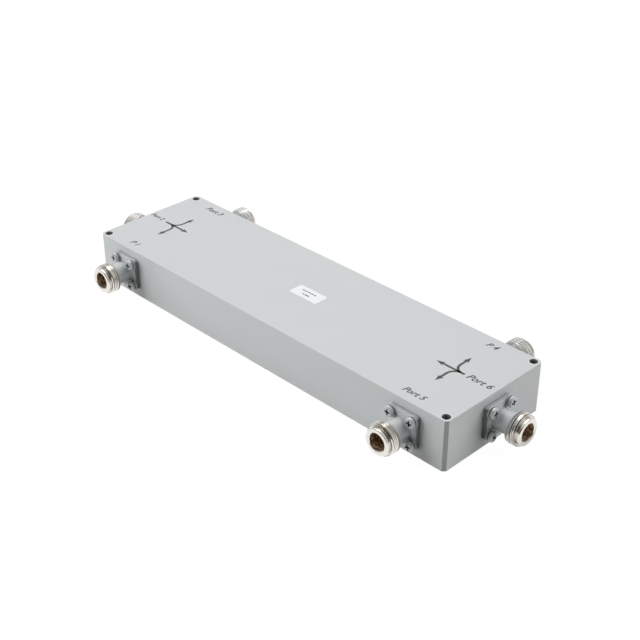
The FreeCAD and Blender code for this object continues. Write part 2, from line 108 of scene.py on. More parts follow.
class JackSizes(bpy.types.PropertyGroup):
    """Sizes of the jacks, measured outwards from the housing's wall"""
    flange_thickness: length("Flange thickness", 2.5, "Thickness of the square flange")
    flange_corner: length("Flange corner", 1.5, "Radius of the flange's four corners")
    flange_edge: length("Flange edge", 0.22, "Rounding of the flange's edges")
    neck_radius: length("Neck radius", 5.4, "Radius of the plain neck behind the thread")
    neck_fillet: length("Neck fillet", 0.5, "Fillet between the flange and the neck")
    thread_start: length("Thread start", 11.2, "Where the threaded barrel begins")
    thread_end: length("Thread end", 16.7, "Where the threaded barrel ends")
    thread_radius: length("Thread radius", 7.94, "Radius over the crests")
    thread_depth: length("Thread depth", 0.62, "Depth from crest to root")
    thread_pitch: length("Thread pitch", 1.0583, "Advance of the thread in one turn")
    thread_rear_edge: length("Rear edge", 0.6, "Chamfer where the thread begins")
    thread_front_edge: length("Front edge", 0.45, "Chamfer where the thread ends")
    relief_radius: length("Relief radius", 6.2, "Radius of the groove in front of the thread")
    nose_start: length("Nose start", 17.5, "Where the plain nose begins")
    nose_radius: length("Nose radius", 6.7, "Radius of the plain nose")
    nose_edge: length("Nose edge", 0.5, "Rounding of the nose's front edge")
    mouth_radius: length("Mouth radius", 4.45, "Radius of the bore that takes a plug")
    mouth_edge: length("Mouth edge", 0.35, "Chamfer at the mouth")
    mouth_floor: length("Mouth floor", 10.1, "Where the wide bore ends")
    bore_radius: length("Bore radius", 3.5, "Radius of the narrow bore behind")
    seat_radius: length("Seat radius", 4.3, "Radius of the insulator's seat in the flange")
    seat_depth: length("Seat depth", 2.0, "Depth of the insulator's seat")
    insulator_front: length("Insulator front", 9.5, "Front face of the insulator")
    contact_radius: length("Contact radius", 1.52, "Radius of the centre contact")
    contact_tip: length("Contact tip", 14.4, "Front end of the centre contact")
    contact_edge: length("Contact edge", 0.3, "Rounding of the centre contact's ends")
    socket_radius: length("Socket radius", 0.85, "Radius of the hole in the contact")
    socket_depth: length("Socket depth", 5.5, "Depth of the hole in the contact")
    slit_width: length("Slit width", 0.4, "Width of the contact's slits")
    slit_length: length("Slit length", 4.5, "Length of the contact's slits")
    segments: IntProperty(name="Segments", description="Facets around a jack, in fours",
                          default=96, min=16, max=256)


class FastenerSizes(bpy.types.PropertyGroup):
    """Sizes of the screws and washers"""
    hole_pitch: length("Hole pitch", 12.7, "Distance between neighbouring flange screws")
    hole_radius: length("Hole radius", 1.6, "Radius of the flange's screw holes")
    shank_radius: length("Shank radius", 1.5, "Radius of a flange screw's shank")
    shank_reach: length("Shank reach", 8.2, "How far a flange screw reaches into the wall")
    head_seat: length("Head seat", 3.7, "Underside of a flange screw's head")
    head_radius: length("Head radius", 2.8, "Radius of a flange screw's head")
    head_height: length("Head height", 1.6, "Height of a flange screw's head")
    head_round: length("Head rounding", 1.0, "Rounding of a flange screw's head")
    recess_span: length("Recess span", 3.2, "Span of the cross recess")
    recess_width: length("Recess width", 0.85, "Width of the cross recess")
    recess_depth: length("Recess depth", 1.15, "Depth of the cross recess")
    flat_radius: length("Flat washer radius", 3.1, "Outer radius of a flat washer")
    flat_top: length("Flat washer top", 3.0, "Front face of a flat washer")
    spring_radius: length("Spring washer radius", 2.65, "Outer radius of a spring washer")
    spring_gap: length("Spring washer gap", 0.5, "Gap in a spring washer")
    washer_bore: length("Washer bore", 1.6, "Inner radius of both washers")
    washer_edge: length("Washer edge", 0.1, "Rounding of the washers' edges")
    cover_pitch: length("Cover screw pitch", 30.0, "Spacing of the cover's side screws")
    cover_inset: length("Cover screw inset", 3.5, "Distance from the cover's edge")
    cover_head_radius: length("Cover head radius", 2.35, "Radius of a countersunk head")
    cover_head_rim: length("Cover head rim", 0.25, "Straight rim of a countersunk head")
    cover_shank_radius: length("Cover shank radius", 1.25, "Radius of a cover screw's shank")
    cover_length: length("Cover screw length", 5.0, "Length of a cover screw")
    cover_recess_span: length("Cover recess span", 2.5, "Span of a cover screw's recess")
    cover_recess_width: length("Cover recess width", 0.55, "Width of a cover screw's recess")
    cover_recess_depth: length("Cover recess depth", 0.7, "Depth of a cover screw's recess")


class PrintSizes(bpy.types.PropertyGroup):
    """Sizes of the ink on the top face and on the label"""
    ink_height: length("Ink height", 0.02, "How far the ink stands above the face")
    stroke: length("Stroke", 1.3, "Width of the flow marks' lines")
    head_length: length("Arrow length", 4.5, "Length of an arrow head")
    head_width: length("Arrow width", 3.1, "Width of an arrow head")
    text_size: length("Text size", 4.8, "Middle size of the port names")
    thickening: length("Thickening", 0.10, "How far the letters' outlines are spread")
    slant: amount("Slant", 0.32, "Slant of the port names", 1.0)
    label_corner: length("Label corner", 1.2, "Radius of the label's corners")


class Finishes(bpy.types.PropertyGroup):
    """Colours of the finishes"""
    paint: colour("Paint", (0.585, 0.604, 0.608), "Light grey paint of the housing")
    nickel: colour("Nickel", (0.800, 0.775, 0.725), "Bright plate of the threads and noses")
    # Painted reflection: the brown stands for the gold contact seen in the bores' walls.
    bore: colour("Bore", (0.600, 0.485, 0.350), "Brown metal inside the mouths")
    # Painted shade: the dark colour laid in the threads' roots and bands.
    thread_shade: colour("Grime", (0.120, 0.105, 0.085), "Dirt in the roots of the threads")
    # Painted shade: the darker brown deep in the mouths.
    deep_bore_shade: colour("Deep bore", (0.330, 0.200, 0.100), "Browner metal deep in the mouths")
    gold: colour("Gold", (0.900, 0.640, 0.290), "Gold plate of the centre contacts")
    plastic: colour("Dielectric", (0.860, 0.850, 0.810), "White plastic of the insulators")
    silver: colour("Silver", (0.830, 0.820, 0.790), "Silver plate of the inner lines")
    steel: colour("Steel", (0.560, 0.560, 0.555), "Stainless steel of the cover's screws")
    ink: colour("Ink", (0.035, 0.034, 0.038), "Ink on the top face")
    faded_ink: colour("Faded ink", (0.140, 0.140, 0.150), "Ink on the label")
    film: colour("Film", (0.880, 0.900, 0.905), "White film of the label")
    # Painted shade: the dark colour of the corner holes' walls.
    hole_shade: colour("Hole", (0.240, 0.246, 0.254), "Dark walls of the corner holes")
    # Painted shade: near-black in the screws' recesses.
    recess: colour("Recess", (0.022, 0.024, 0.024), "Bare dark metal in the screws' recesses")
    # Painted shade: a dark colour on the spring washers, in the gap under the screw heads.
    washer_shade: colour("Oxide", (0.150, 0.152, 0.150), "Dark oxide of the spring washers")


class StudioSettings(bpy.types.PropertyGroup):
    """The camera and the light"""
    azimuth: FloatProperty(name="Azimuth", description="Turn of the camera from the front",
                           default=math.radians(45.3252), subtype="ANGLE")
    elevation: FloatProperty(name="Elevation", description="Height angle of the camera",
                             default=math.radians(31.2771), subtype="ANGLE")
    distance: length("Distance", 633.62, "From the camera to the middle of the base")
    pan_right: length("Pan right", 8.738, "Shift of the camera to its right")
    pan_up: length("Pan up", 8.758, "Shift of the camera upwards")
    lens: FloatProperty(name="Lens", description="Focal length in millimetres",
                        default=69.097, min=1.0)
    top_power: amount("Top light", 10.6, "Power of the light above, in watts", 200.0)
    left_power: amount("Left light", 22.2, "Power of the lights on the left, in watts", 100.0)
    right_power: amount("Right light", 15.9, "Power of the lights on the right, in watts", 100.0)


# Node graphs

class Wire:
    """An output socket that expressions can be written on. Each operator adds a Math node."""

    def __init__(self, graph, socket):
        self.graph = graph
        self.socket = socket

    def out(self, key):
        """Another output of the same node."""
        return Wire(self.graph, self.socket.node.outputs[key])

    def math(self, operation, *others):
        return self.graph.calculate(operation, self, *others)

    def __add__(self, other):
        return self.math("ADD", other)

    def __radd__(self, other):
        return self.graph.calculate("ADD", other, self)

    def __sub__(self, other):
        return self.math("SUBTRACT", other)

    def __rsub__(self, other):
        return self.graph.calculate("SUBTRACT", other, self)

    def __mul__(self, other):
        return self.math("MULTIPLY", other)

    def __abs__(self):
        return self.math("ABSOLUTE")

    def __gt__(self, other):
        return self.math("GREATER_THAN", other)

    def clamped(self, low, high):
        return self.math("MAXIMUM", low).math("MINIMUM", high)


class Graph:
    """Adds nodes to one node tree."""

    def __init__(self, tree):
        self.tree = tree

    def add(self, kind, settings=None, sockets=None):
        """One node: its settings first, then the values or wires of its sockets."""
        node = self.tree.nodes.new(kind)
        for key, value in (settings or {}).items():
            setattr(node, key, value)
        for key, value in (sockets or {}).items():
            if isinstance(value, Wire):
                self.tree.links.new(value.socket, node.inputs[key])
            else:
                node.inputs[key].default_value = value
        return Wire(self, node.outputs[0]) if node.outputs else None

    def calculate(self, operation, *values):
        return self.add("ShaderNodeMath", {"operation": operation}, dict(enumerate(values)))

    def split(self, vector):
        """The three numbers of a vector."""
        first = self.add("ShaderNodeSeparateXYZ", sockets={0: vector})
        return [first.out(axis) for axis in "XYZ"]

    def step(self, value, low, high):
        """Rises smoothly from 0 to 1 while a value goes from low to high."""
        return self.add("ShaderNodeMapRange", {"interpolation_type": "SMOOTHSTEP"},
                        {"Value": value, "From Min": low, "From Max": high})


class Finish(Graph):
    """The node tree of one material, in Object coordinates."""

    def __init__(self, name):
        self.material = bpy.data.materials.new(name)
        self.material.use_nodes = True
        super().__init__(self.material.node_tree)
        self.tree.nodes.clear()
        self.place = self.add("ShaderNodeTexCoord").out("Object")

    def noise(self, size, detail):
        """Noise with grains of about the given size in metres, from 0 to 1."""
        return self.add("ShaderNodeTexNoise", sockets={
            "Vector": self.place, "Scale": 1 / size, "Detail": detail})

    def blend(self, factor, below, above):
        """Goes from one colour to another as the factor goes from 0 to 1."""
        return self.add("ShaderNodeMix", {"data_type": "RGBA"},
                        {0: factor, 6: below, 7: above}).out(2)

    def bump(self, height, distance):
        return self.add("ShaderNodeBump", sockets={"Height": height, "Distance": distance})

    def surface(self, **sockets):
        """Ends the tree in one Principled surface and returns the material."""
        named = {key.replace("_", " "): value for key, value in sockets.items()}
        shader = self.add("ShaderNodeBsdfPrincipled", sockets=named)
        self.add("ShaderNodeOutputMaterial", sockets={"Surface": shader})
        return self.material


def opaque(rgb, factor=1.0):
    """A colour with an alpha of one, made lighter or darker by a factor."""
    return (*(min(channel * factor, 1.0) for channel in rgb), 1.0)


# Finishes. A share is what is left of the lightness of a paint or a plate.

PEEL_HEIGHT = 0.012 * MM
# Painted highlight: the paint is lighter on a ring round the corner holes.
RIM_HIGHLIGHT = 1.5
RIM_HIGHLIGHT_STRENGTH = 0.85
RIM_START, RIM_END = HOLE_RADIUS + 0.10 * MM, HOLE_RADIUS + 0.55 * MM
HOLE_WALL_END = HOLE_RADIUS + 0.06 * MM
# Painted shade: the flat cut on the upright edges is painted darker.
CUT_EDGE_SHADE_SHARE = 0.67
CUT_EDGE_START = HOUSING_HIGH.x + HOUSING_HIGH.y - CORNER_CUT - 0.03 * MM
# Painted shade: darker paint on the screws and washers below the jacks' axes.
LOW_SCREW_SHADE_SHARE = 0.3


def outward_distance(finish):
    """How far a point of a jack lies outside the housing's wall."""
    x, y, _ = finish.split(finish.place)
    return (abs(x) - HOUSING_HIGH.x).math("MAXIMUM", abs(y) - HOUSING_HIGH.y)


def distance(across, along):
    return (across * across + along * along).math("SQRT")


def paint_parts(finish, colours):
    """Colour, roughness and bump of the grey paint: faint clouds and a fine orange peel."""
    clouds = finish.noise(22 * MM, 3.0)
    grain = finish.noise(0.45 * MM, 1.0)
    shade = finish.blend(clouds * 0.7 + grain * 0.3,
                         opaque(colours.paint, 0.965), opaque(colours.paint, 1.035))
    roughness = 0.40 + clouds * 0.08
    peel = finish.noise(0.8 * MM, 2.0)
    return shade, roughness, peel


def housing_paint(name, colours):
    """Grey paint with a painted highlight round the corner holes, and painted shade on their walls
    and on the cut edges.
    """
    finish = Finish(name)
    shade, roughness, peel = paint_parts(finish, colours)
    x, y, _ = finish.split(finish.place)
    from_hole = distance(abs(x) - (HOUSING_HIGH.x - HOLE_INSET),
                         abs(y) - (HOUSING_HIGH.y - HOLE_INSET))
    # Painted highlight: a lighter ring of paint round the corner holes.
    rim = 1 - finish.step(from_hole, RIM_START, RIM_END)
    shade = finish.blend(rim * RIM_HIGHLIGHT_STRENGTH, shade, opaque(colours.paint, RIM_HIGHLIGHT))
    # Painted shade: the corner holes' walls take a dark colour.
    inside = from_hole.math("LESS_THAN", HOLE_WALL_END)
    shade = finish.blend(inside, shade, opaque(colours.hole_shade))
    # Painted shade: the flat cut on the upright edges is painted darker.
    shade = finish.blend(abs(x) + abs(y) > CUT_EDGE_START, shade,
                         opaque(colours.paint, CUT_EDGE_SHADE_SHARE))
    return finish.surface(Base_Color=shade, Roughness=roughness,
                          Normal=finish.bump(peel, PEEL_HEIGHT))


def plain_paint(name, colours):
    """The same grey paint on screws, washers and the cover, with painted shade on the low screws
    and washers.
    """
    finish = Finish(name)
    shade, roughness, peel = paint_parts(finish, colours)
    _, _, z = finish.split(finish.place)
    # Painted shade: screws and washers below the jacks' axes are painted darker.
    low_screw_shade = (finish.step(PORT_HEIGHT - z, 1 * MM, 6 * MM)
                 * (outward_distance(finish) > 1 * MM))
    shade = finish.blend(low_screw_shade * 0.5, shade, opaque(colours.paint, LOW_SCREW_SHADE_SHARE))
    return finish.surface(Base_Color=shade, Roughness=roughness,
                          Normal=finish.bump(peel, PEEL_HEIGHT))


class JackFinish(Finish):
    """Grey paint on the flange and the neck, bright plate in front, painted shade in the thread,
    at the wall and below the axes, and a painted highlight on top of the far jacks.
    """

    # Painted shade: dark bands at this spacing along the threads.
    SHADE_BAND_SPACING = 1.69 * MM
    PAINT_REACH = 1.15 * MM
    PAINT_FADE = 0.20 * MM
    # Painted highlight: a whiter plate on top of the far jacks; painted shade: a darker plate
    # under port 6.
    FAR_TOP_HIGHLIGHT = (0.97, 0.96, 0.94)
    LOW_PLATE_SHADE_SHARE = 0.5
    # Painted shade on the jacks' paint near the wall, on the flange's side faces and below the
    # axis.
    WALL_SHADE_SHARE = 0.25
    SIDE_FACE_SHADE_SHARE = 0.20
    LOW_PAINT_SHADE_SHARE = 0.25

    def __init__(self, name, colours, sizes):
        super().__init__(name)
        self.colours = colours
        self.sizes = sizes
        x, y, z = self.split(self.place)
        self.outward = outward_distance(self)
        self.on_end = abs(x) > HOUSING_HIGH.x
        self.across = (abs(x) - SIDE_PORT) * (1 - self.on_end) + y * self.on_end
        self.height = z - PORT_HEIGHT
        self.far_side = (y > HOUSING_HIGH.y).math("MAXIMUM", HOUSING_LOW.x - x > 0.0)
        self.far_top = self.far_side * self.step(self.height, 0.0, 5 * MM)
        self.below = self.step(0.0 - self.height, -1.5 * MM, 5 * MM)
        self.on_port_6 = x > HOUSING_HIGH.x

    def root_shade(self):
        """Painted shade in the thread's roots, in patchy bands, darker on the end jacks and
        lighter on top of the far jacks.
        """
        sizes = self.sizes
        crest = self.step(distance(self.across, self.height),
                          sizes.thread_radius - sizes.thread_depth * 0.9,
                          sizes.thread_radius - sizes.thread_depth * 0.2)
        barrel = ((self.outward > sizes.thread_start)
                  * (sizes.thread_end - 0.02 * MM - self.outward > 0.0))
        wave = (self.outward * (2 * math.pi / self.SHADE_BAND_SPACING)).math("SINE")
        bands = self.step(wave + (self.noise(3 * MM, 2.0) - 0.5) * 0.8, -0.3, 0.5)
        return ((1.3 - crest) * barrel * (0.05 + bands * (0.45 + self.on_end * 0.45))
                * (1 - self.far_top * 0.4))

    def plated(self):
        """Where the paint has ended. It reaches further and less evenly on port 6."""
        mist = self.noise(0.5 * MM, 3.0) - 0.5
        drift = self.noise(5 * MM, 2.0) - 0.5
        low_half = self.step(0.0 - self.height, -3 * MM, 2 * MM)
        edge = (self.outward + mist * (0.5 * MM + self.on_port_6 * (0.8 * MM))
                + (drift * (2.5 * MM) - 1.9 * MM + low_half * (2.4 * MM)) * self.on_port_6
                + self.far_side * (1.5 * MM))
        middle = self.sizes.thread_start + self.PAINT_REACH
        return self.step(edge, middle - self.PAINT_FADE, middle + self.PAINT_FADE)

    def plate(self, marks):
        """Bright plate, with a painted highlight on top of the far jacks and painted shade under
        port 6.
        """
        nickel = self.colours.nickel
        plate = self.blend(marks, opaque(nickel, 0.94), opaque(nickel, 1.04))
        # Painted highlight: whiter plate on top of the far jacks.
        plate = self.blend(self.far_top * 0.8, plate, opaque(self.FAR_TOP_HIGHLIGHT))
        # Painted shade: darker plate below the axis of port 6.
        return self.blend(self.below * self.on_port_6 * 0.7, plate,
                          opaque(nickel, self.LOW_PLATE_SHADE_SHARE))

    def shaded_paint(self, shade):
        """Paint with painted shade near the wall, on the flange's side faces and below the axis.
        """
        paint = self.colours.paint
        # Painted shade: darker paint near the wall.
        wall_shade = 1 - self.step(self.outward, 0.15 * MM, 0.55 * MM)
        shade = self.blend(wall_shade * 0.55, shade, opaque(paint, self.WALL_SHADE_SHARE))
        # Painted shade: darker paint on the flange's side faces.
        side = ((abs(self.across) > FLANGE_SIDE / 2 - 0.2 * MM)
                * (self.sizes.flange_thickness - self.outward > 0.0))
        shade = self.blend(side * 0.8, shade, opaque(paint, self.SIDE_FACE_SHADE_SHARE))
        # Painted shade: darker paint below the axis, more on the end jacks.
        return self.blend(self.below * (0.5 + self.on_end * 0.15), shade,
                          opaque(paint, self.LOW_PAINT_SHADE_SHARE))

    def made(self):
        shade, roughness, peel = paint_parts(self, self.colours)
        marks = self.noise(1.2 * MM, 3.0)
        plated = self.plated()
        shade = self.blend(plated, self.shaded_paint(shade), self.plate(marks))
        return self.surface(
            # Painted shade: the thread's roots and bands take the dark thread colour.
            Base_Color=self.blend(self.root_shade(), shade, opaque(self.colours.thread_shade)),
            Roughness=roughness + plated * (0.20 + marks * 0.08 - roughness),
            Metallic=plated * (1 - self.far_top * 0.25),
            Normal=self.bump(peel, 0.010 * MM))


def bore_finish(name, colours, sizes):
    """Brown metal with lighter patches, a painted reflection of the gold contact, and painted
    shade that grows browner and darker with the depth inside a mouth.
    """
    finish = Finish(name)
    turning = finish.noise(1.1 * MM, 3.0)
    patches = finish.step(finish.noise(1.6 * MM, 2.0), 0.42, 0.60)
    # Painted reflection: brown with lighter patches near the mouth.
    light = finish.blend(patches, opaque(colours.bore, 0.45), opaque(colours.bore, 1.6))
    # Painted shade: darker brown deep in the mouth.
    deep = finish.blend(patches, opaque(colours.deep_bore_shade, 0.5), opaque(colours.deep_bore_shade, 1.5))
    near = finish.step(outward_distance(finish), sizes.mouth_floor, JACK_LENGTH)
    shade = finish.blend(near, deep, light)
    return finish.surface(Base_Color=shade, Roughness=0.34 + turning * 0.12, Metallic=0.6)


def clouded(name, rgb, cloud, shades, roughness, bump=None, metallic=0.0):
    """A finish whose colour and roughness vary in small clouds of one size and detail."""
    finish = Finish(name)
    marks = finish.noise(*cloud)
    low, spread = roughness
    sockets = {"Normal": finish.bump(marks, bump)} if bump else {}
    return finish.surface(
        Base_Color=finish.blend(marks, *(opaque(rgb, factor) for factor in shades)),
        Roughness=low + marks * spread, Metallic=metallic, **sockets)


def metal_finish(name, rgb, low, spread):
    """Plated or unpainted metal."""
    return clouded(name, rgb, (0.9 * MM, 3.0), (0.93, 1.06), (low, spread), 0.003 * MM, 1.0)


def plastic_finish(name, rgb):
    return clouded(name, rgb, (3 * MM, 2.0), (0.95, 1.03), (0.42, 0.1), 0.01 * MM)


def film_finish(name, rgb):
    return clouded(name, rgb, (0.35 * MM, 3.0), (0.985, 1.01), (0.5, 0.1), 0.004 * MM)


def dark_finish(name, rgb):
    """A dull dark colour: painted shade in the screws' recesses and on the spring washers."""
    return clouded(name, rgb, (0.5 * MM, 2.0), (0.8, 1.3), (0.5, 0.2))


def ink_finish(name, rgb):
    """Screen-printed ink, a little uneven in density."""
    return clouded(name, rgb, (0.7 * MM, 3.0), (0.8, 1.5), (0.5, 0.15))


# Meshes

def round_ring(radius, height, count):
    """A circle of points, the first at -45 degrees, or one point on the axis."""
    if radius == 0:
        return [Vector((0, 0, height))]
    ring = []
    for index in range(count):
        angle = 2 * math.pi * index / count - math.pi / 4
        ring.append(Vector((radius * math.cos(angle), radius * math.sin(angle), height)))
    return ring


def square_ring(half, corner, height, count):
    """A square with round corners, its points spread evenly over sides and corners."""
    ring = []
    quarter = count // 4
    bend = quarter // 6
    for side in range(4):
        turn = Matrix.Rotation(side * math.pi / 2, 3, "Z")
        for index in range(quarter):
            if index < bend:
                angle = -math.pi / 4 * (1 - index / bend)
                point = Vector((half - corner + corner * math.cos(angle),
                                corner - half + corner * math.sin(angle), height))
            elif index > quarter - bend:
                angle = math.pi / 4 * (index - quarter + bend) / bend
                point = Vector((half - corner + corner * math.cos(angle),
                                half - corner + corner * math.sin(angle), height))
            else:
                share = (index - bend) / (quarter - 2 * bend)
                point = Vector((half, (half - corner) * (2 * share - 1), height))
            ring.append(turn @ point)
    return ring


def rounded(path, steps=4):
    """A path of (radius, height) points from (radius, height, rounding) corners."""
    points = []
    for index, (x, y, rounding) in enumerate(path):
        corner = Vector((x, y))
        if rounding == 0:
            points.append((x, y))
            continue
        before = (Vector(path[index - 1][:2]) - corner).normalized()
        after = (Vector(path[(index + 1) % len(path)][:2]) - corner).normalized()
        half_angle = before.angle(after) / 2
        centre = corner + (before + after).normalized() * (rounding / math.sin(half_angle))
        reach = rounding / math.tan(half_angle)
        start = corner + before * reach - centre
        end = corner + after * reach - centre
        sweep = start.angle(end)
        for step in range(steps + 1):
            share = step / steps
            arm = (start * math.sin((1 - share) * sweep) + end * math.sin(share * sweep))
            points.append(tuple(centre + arm / math.sin(sweep)))
    return points


def skin(mesh, rings, closed=False):
    """Joins rings of points with faces. A ring of one point is a pole."""
    made = [[mesh.verts.new(point) for point in ring] for ring in rings]
    pairs = list(zip(made, made[1:]))
    if closed:
        pairs.append((made[-1], made[0]))
    for low, high in pairs:
        for index in range(max(len(low), len(high))):
            corners = [low[index % len(low)], low[(index + 1) % len(low)],
                       high[(index + 1) % len(high)], high[index % len(high)]]
            mesh.faces.new(list(dict.fromkeys(corners)))


def skin_with_ends(rings):
    """A mesh on rings of points, its first and last ring closed with one face each."""
    mesh = bmesh.new()
    skin(mesh, rings)
    mesh.verts.ensure_lookup_table()
    count = len(rings[0])
    mesh.faces.new(list(reversed(mesh.verts[:count])))
    mesh.faces.new(mesh.verts[-count:])
    return mesh


def cross(far, near, level):
    """The twelve corners of a level cross, anticlockwise."""
    corners = [(far, -near), (far, near), (near, near)]
    while len(corners) < 12:
        x, y = corners[-3]
        corners.append((-y, x))
    return [Vector((x, y, level)) for x, y in corners]


def add_turned(mesh, path, count, closed=False):
    """Adds a path of (radius, height) points turned about Z, upwards on outer walls."""
    skin(mesh, [round_ring(radius, height, count) for radius, height in path], closed)


def turned(path, steps, count, closed=False):
    """A mesh of a path of (radius, height, rounding) corners turned about Z."""
    mesh = bmesh.new()
    add_turned(mesh, rounded(path, steps), count, closed)
    return mesh


def shade_by_angle(mesh):
    """Smooth faces with sharp edges where the surface turns quickly."""
    for face in mesh.faces:
        face.smooth = True
    for edge in mesh.edges:
        edge.smooth = edge.calc_face_angle(math.pi) < SMOOTH_ANGLE


def add_object(name, data):
    piece = bpy.data.objects.new(name, data)
    bpy.context.collection.objects.link(piece)
    return piece


def add_piece(name, mesh, finish=None, matrix=None):
    """Turns a bmesh into an object whose place is in its mesh."""
    bmesh.ops.remove_doubles(mesh, verts=mesh.verts, dist=MERGE_GAP)
    shade_by_angle(mesh)
    data = bpy.data.meshes.new(name)
    mesh.to_mesh(data)
    mesh.free()
    if matrix is not None:
        data.transform(matrix)
    if finish is not None:
        data.materials.append(finish)
    return add_object(name, data)


def reshape(piece, change=None):
    """Shades a piece anew, once a change to its mesh is made if one is given."""
    mesh = bmesh.new()
    mesh.from_mesh(piece.data)
    if change is not None:
        change(mesh)
    shade_by_angle(mesh)
    mesh.to_mesh(piece.data)
    mesh.free()


def evaluated_mesh(piece):
    """What a piece's modifiers, or its text, make."""
    graph = bpy.context.evaluated_depsgraph_get()
    return bpy.data.meshes.new_from_object(piece.evaluated_get(graph), depsgraph=graph)


def settle(piece):
    """Applies a piece's modifiers: its mesh becomes what they made of it."""
    data = evaluated_mesh(piece)
    piece.modifiers.clear()
    old = piece.data
    piece.data = data
    bpy.data.meshes.remove(old)
    return piece


def cut(piece, cutter):
    """Takes one mesh out of another and shades the result anew."""
    modifier = piece.modifiers.new("cut", "BOOLEAN")
    modifier.operation = "DIFFERENCE"
    modifier.solver = "EXACT"
    modifier.object = cutter
    settle(piece)
    bpy.data.objects.remove(cutter)
    reshape(piece)


def dress(piece, *finishes):
    """Gives a piece these finishes and no others."""
    piece.data.materials.clear()
    for finish in finishes:
        piece.data.materials.append(finish)


def own(piece, slot, *nodes):
    """Puts a finished piece on the body, in place of the nodes that it stands for."""
    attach(piece, BODY)
    if nodes:
        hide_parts(*nodes)


def copy_of_node(name, piece_name, finish):
    """A merged copy of a solid's mesh with its flat faces whole, shaded by angle."""
    mesh = bmesh.new()
    mesh.from_mesh(NODES[name].data)
    bmesh.ops.remove_doubles(mesh, verts=mesh.verts, dist=MERGE_GAP)
    bmesh.ops.dissolve_limit(mesh, angle_limit=FLAT_ANGLE, verts=mesh.verts,
                             edges=mesh.edges)
    return add_piece(piece_name, mesh, finish)


def port_matrix(number):
    """Takes a jack's own axes to its place: Z out of the wall, Y up, origin on the wall."""
    low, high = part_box("port_%d_jack_body" % number)
    origin = (low + high) / 2
    for axis in (0, 1):
        for sign, reach, wall in ((1, high, HOUSING_HIGH), (-1, low, HOUSING_LOW)):
            if (reach[axis] - wall[axis]) * sign > JACK_LENGTH / 2:
                outward = Vector((0, 0, 0))
                outward[axis] = sign
                origin[axis] = wall[axis]
    up = Vector((0, 0, 1))
    matrix = Matrix((up.cross(outward), up, outward)).transposed().to_4x4()
    matrix.translation = origin
    return matrix


# Geometry node trees

def new_tree(name, inputs):
    """An empty tree of geometry nodes with named inputs, its graph and its input wires."""
    tree = bpy.data.node_groups.new(name, "GeometryNodeTree")
    tree.interface.new_socket("Geometry", in_out="INPUT", socket_type="NodeSocketGeometry")
    for label, kind in inputs:
        tree.interface.new_socket(label, in_out="INPUT", socket_type="NodeSocket" + kind)
    tree.interface.new_socket("Geometry", in_out="OUTPUT", socket_type="NodeSocketGeometry")
    graph = Graph(tree)
    entry = graph.add("NodeGroupInput")
    return tree, graph, {label: entry.out(label) for label, _ in [("Geometry", ""), *inputs]}


def end_tree(graph, geometry, finish, marked_finish=None):
    """Realizes and paints the geometry, its marked faces in a second finish if given."""
    dressed = graph.add("GeometryNodeSetMaterial", sockets={
        "Geometry": graph.add("GeometryNodeRealizeInstances", sockets={"Geometry": geometry}),
        "Material": finish})
    if marked_finish is not None:
        marked = graph.add("GeometryNodeInputNamedAttribute", {"data_type": "BOOLEAN"},
                           {"Name": MARK})
        dressed = graph.add("GeometryNodeSetMaterial", sockets={
            "Geometry": dressed, "Selection": marked, "Material": marked_finish})
    graph.add("NodeGroupOutput", sockets={"Geometry": dressed})


def grow(piece, tree, values):
    """Runs a tree on a piece with the given inputs and keeps the mesh that comes out."""
    modifier = piece.modifiers.new(tree.name, "NODES")
    modifier.node_group = tree
    for item in tree.interface.items_tree:
        if item.in_out == "INPUT" and item.name in values:
            modifier[item.identifier] = values[item.name]
    return settle(piece)


THREAD_INPUTS = [
    ("Radius", "Float"), ("Depth", "Float"), ("Pitch", "Float"), ("Start", "Float"),
    ("End", "Float"), ("Rear Edge", "Float"), ("Front Edge", "Float"),
    ("Segments", "Int"), ("Material", "Material"),
]
THREAD_TURNS = 7
CREST_SHARE = 0.125
FLANK_SHARE = 0.36


def thread_tree():
    """A screw thread on a cylinder, cut off square and chamfered at both ends. A strip of
    root, flank, crest and flank is wound along a helix, each turn meeting the next."""
    tree, graph, given = new_tree("Thread", THREAD_INPUTS)
    strip = graph.add("GeometryNodeMeshGrid", sockets={
        "Size X": THREAD_TURNS, "Size Y": 1.0,
        "Vertices X": given["Segments"] * THREAD_TURNS + 1, "Vertices Y": 5})
    turn, across, _ = graph.split(graph.add("GeometryNodeInputPosition"))
    edge = ((across + 0.5) * 4).math("ROUND")
    stretches = [(edge - index).clamped(0, 1) for index in range(4)]
    root_share = 1 - CREST_SHARE - 2 * FLANK_SHARE
    share = (stretches[0] * root_share + stretches[1] * FLANK_SHARE
             + stretches[2] * CREST_SHARE + stretches[3] * FLANK_SHARE)
    raised = stretches[1] - stretches[3]
    middle = (given["Start"] + given["End"]) * 0.5
    level = middle + (turn + share - 0.5) * given["Pitch"]
    level = level.clamped(given["Start"], given["End"])
    crest = given["Radius"]
    rear = crest - (given["Start"] + given["Rear Edge"] - level).math("MAXIMUM", 0)
    front = crest - (level - given["End"] + given["Front Edge"]).math("MAXIMUM", 0)
    radius = crest - (1 - raised) * given["Depth"]
    radius = radius.math("MINIMUM", rear).math("MINIMUM", front)
    angle = turn * (2 * math.pi)
    place = graph.add("ShaderNodeCombineXYZ", sockets={
        "X": radius * angle.math("COSINE"), "Y": radius * angle.math("SINE"), "Z": level})
    wound = graph.add("GeometryNodeSetPosition",
                      sockets={"Geometry": strip.out("Mesh"), "Position": place})
    whole = graph.add("GeometryNodeMergeByDistance",
                      sockets={"Geometry": wound, "Distance": MERGE_GAP})
    end_tree(graph, whole, given["Material"])
    return tree


MARK = "recess"
FASTENER_INPUTS = [("Fastener", "Object"), ("Turn Seed", "Int"), ("Material", "Material"),
                   ("Recess Material", "Material")]


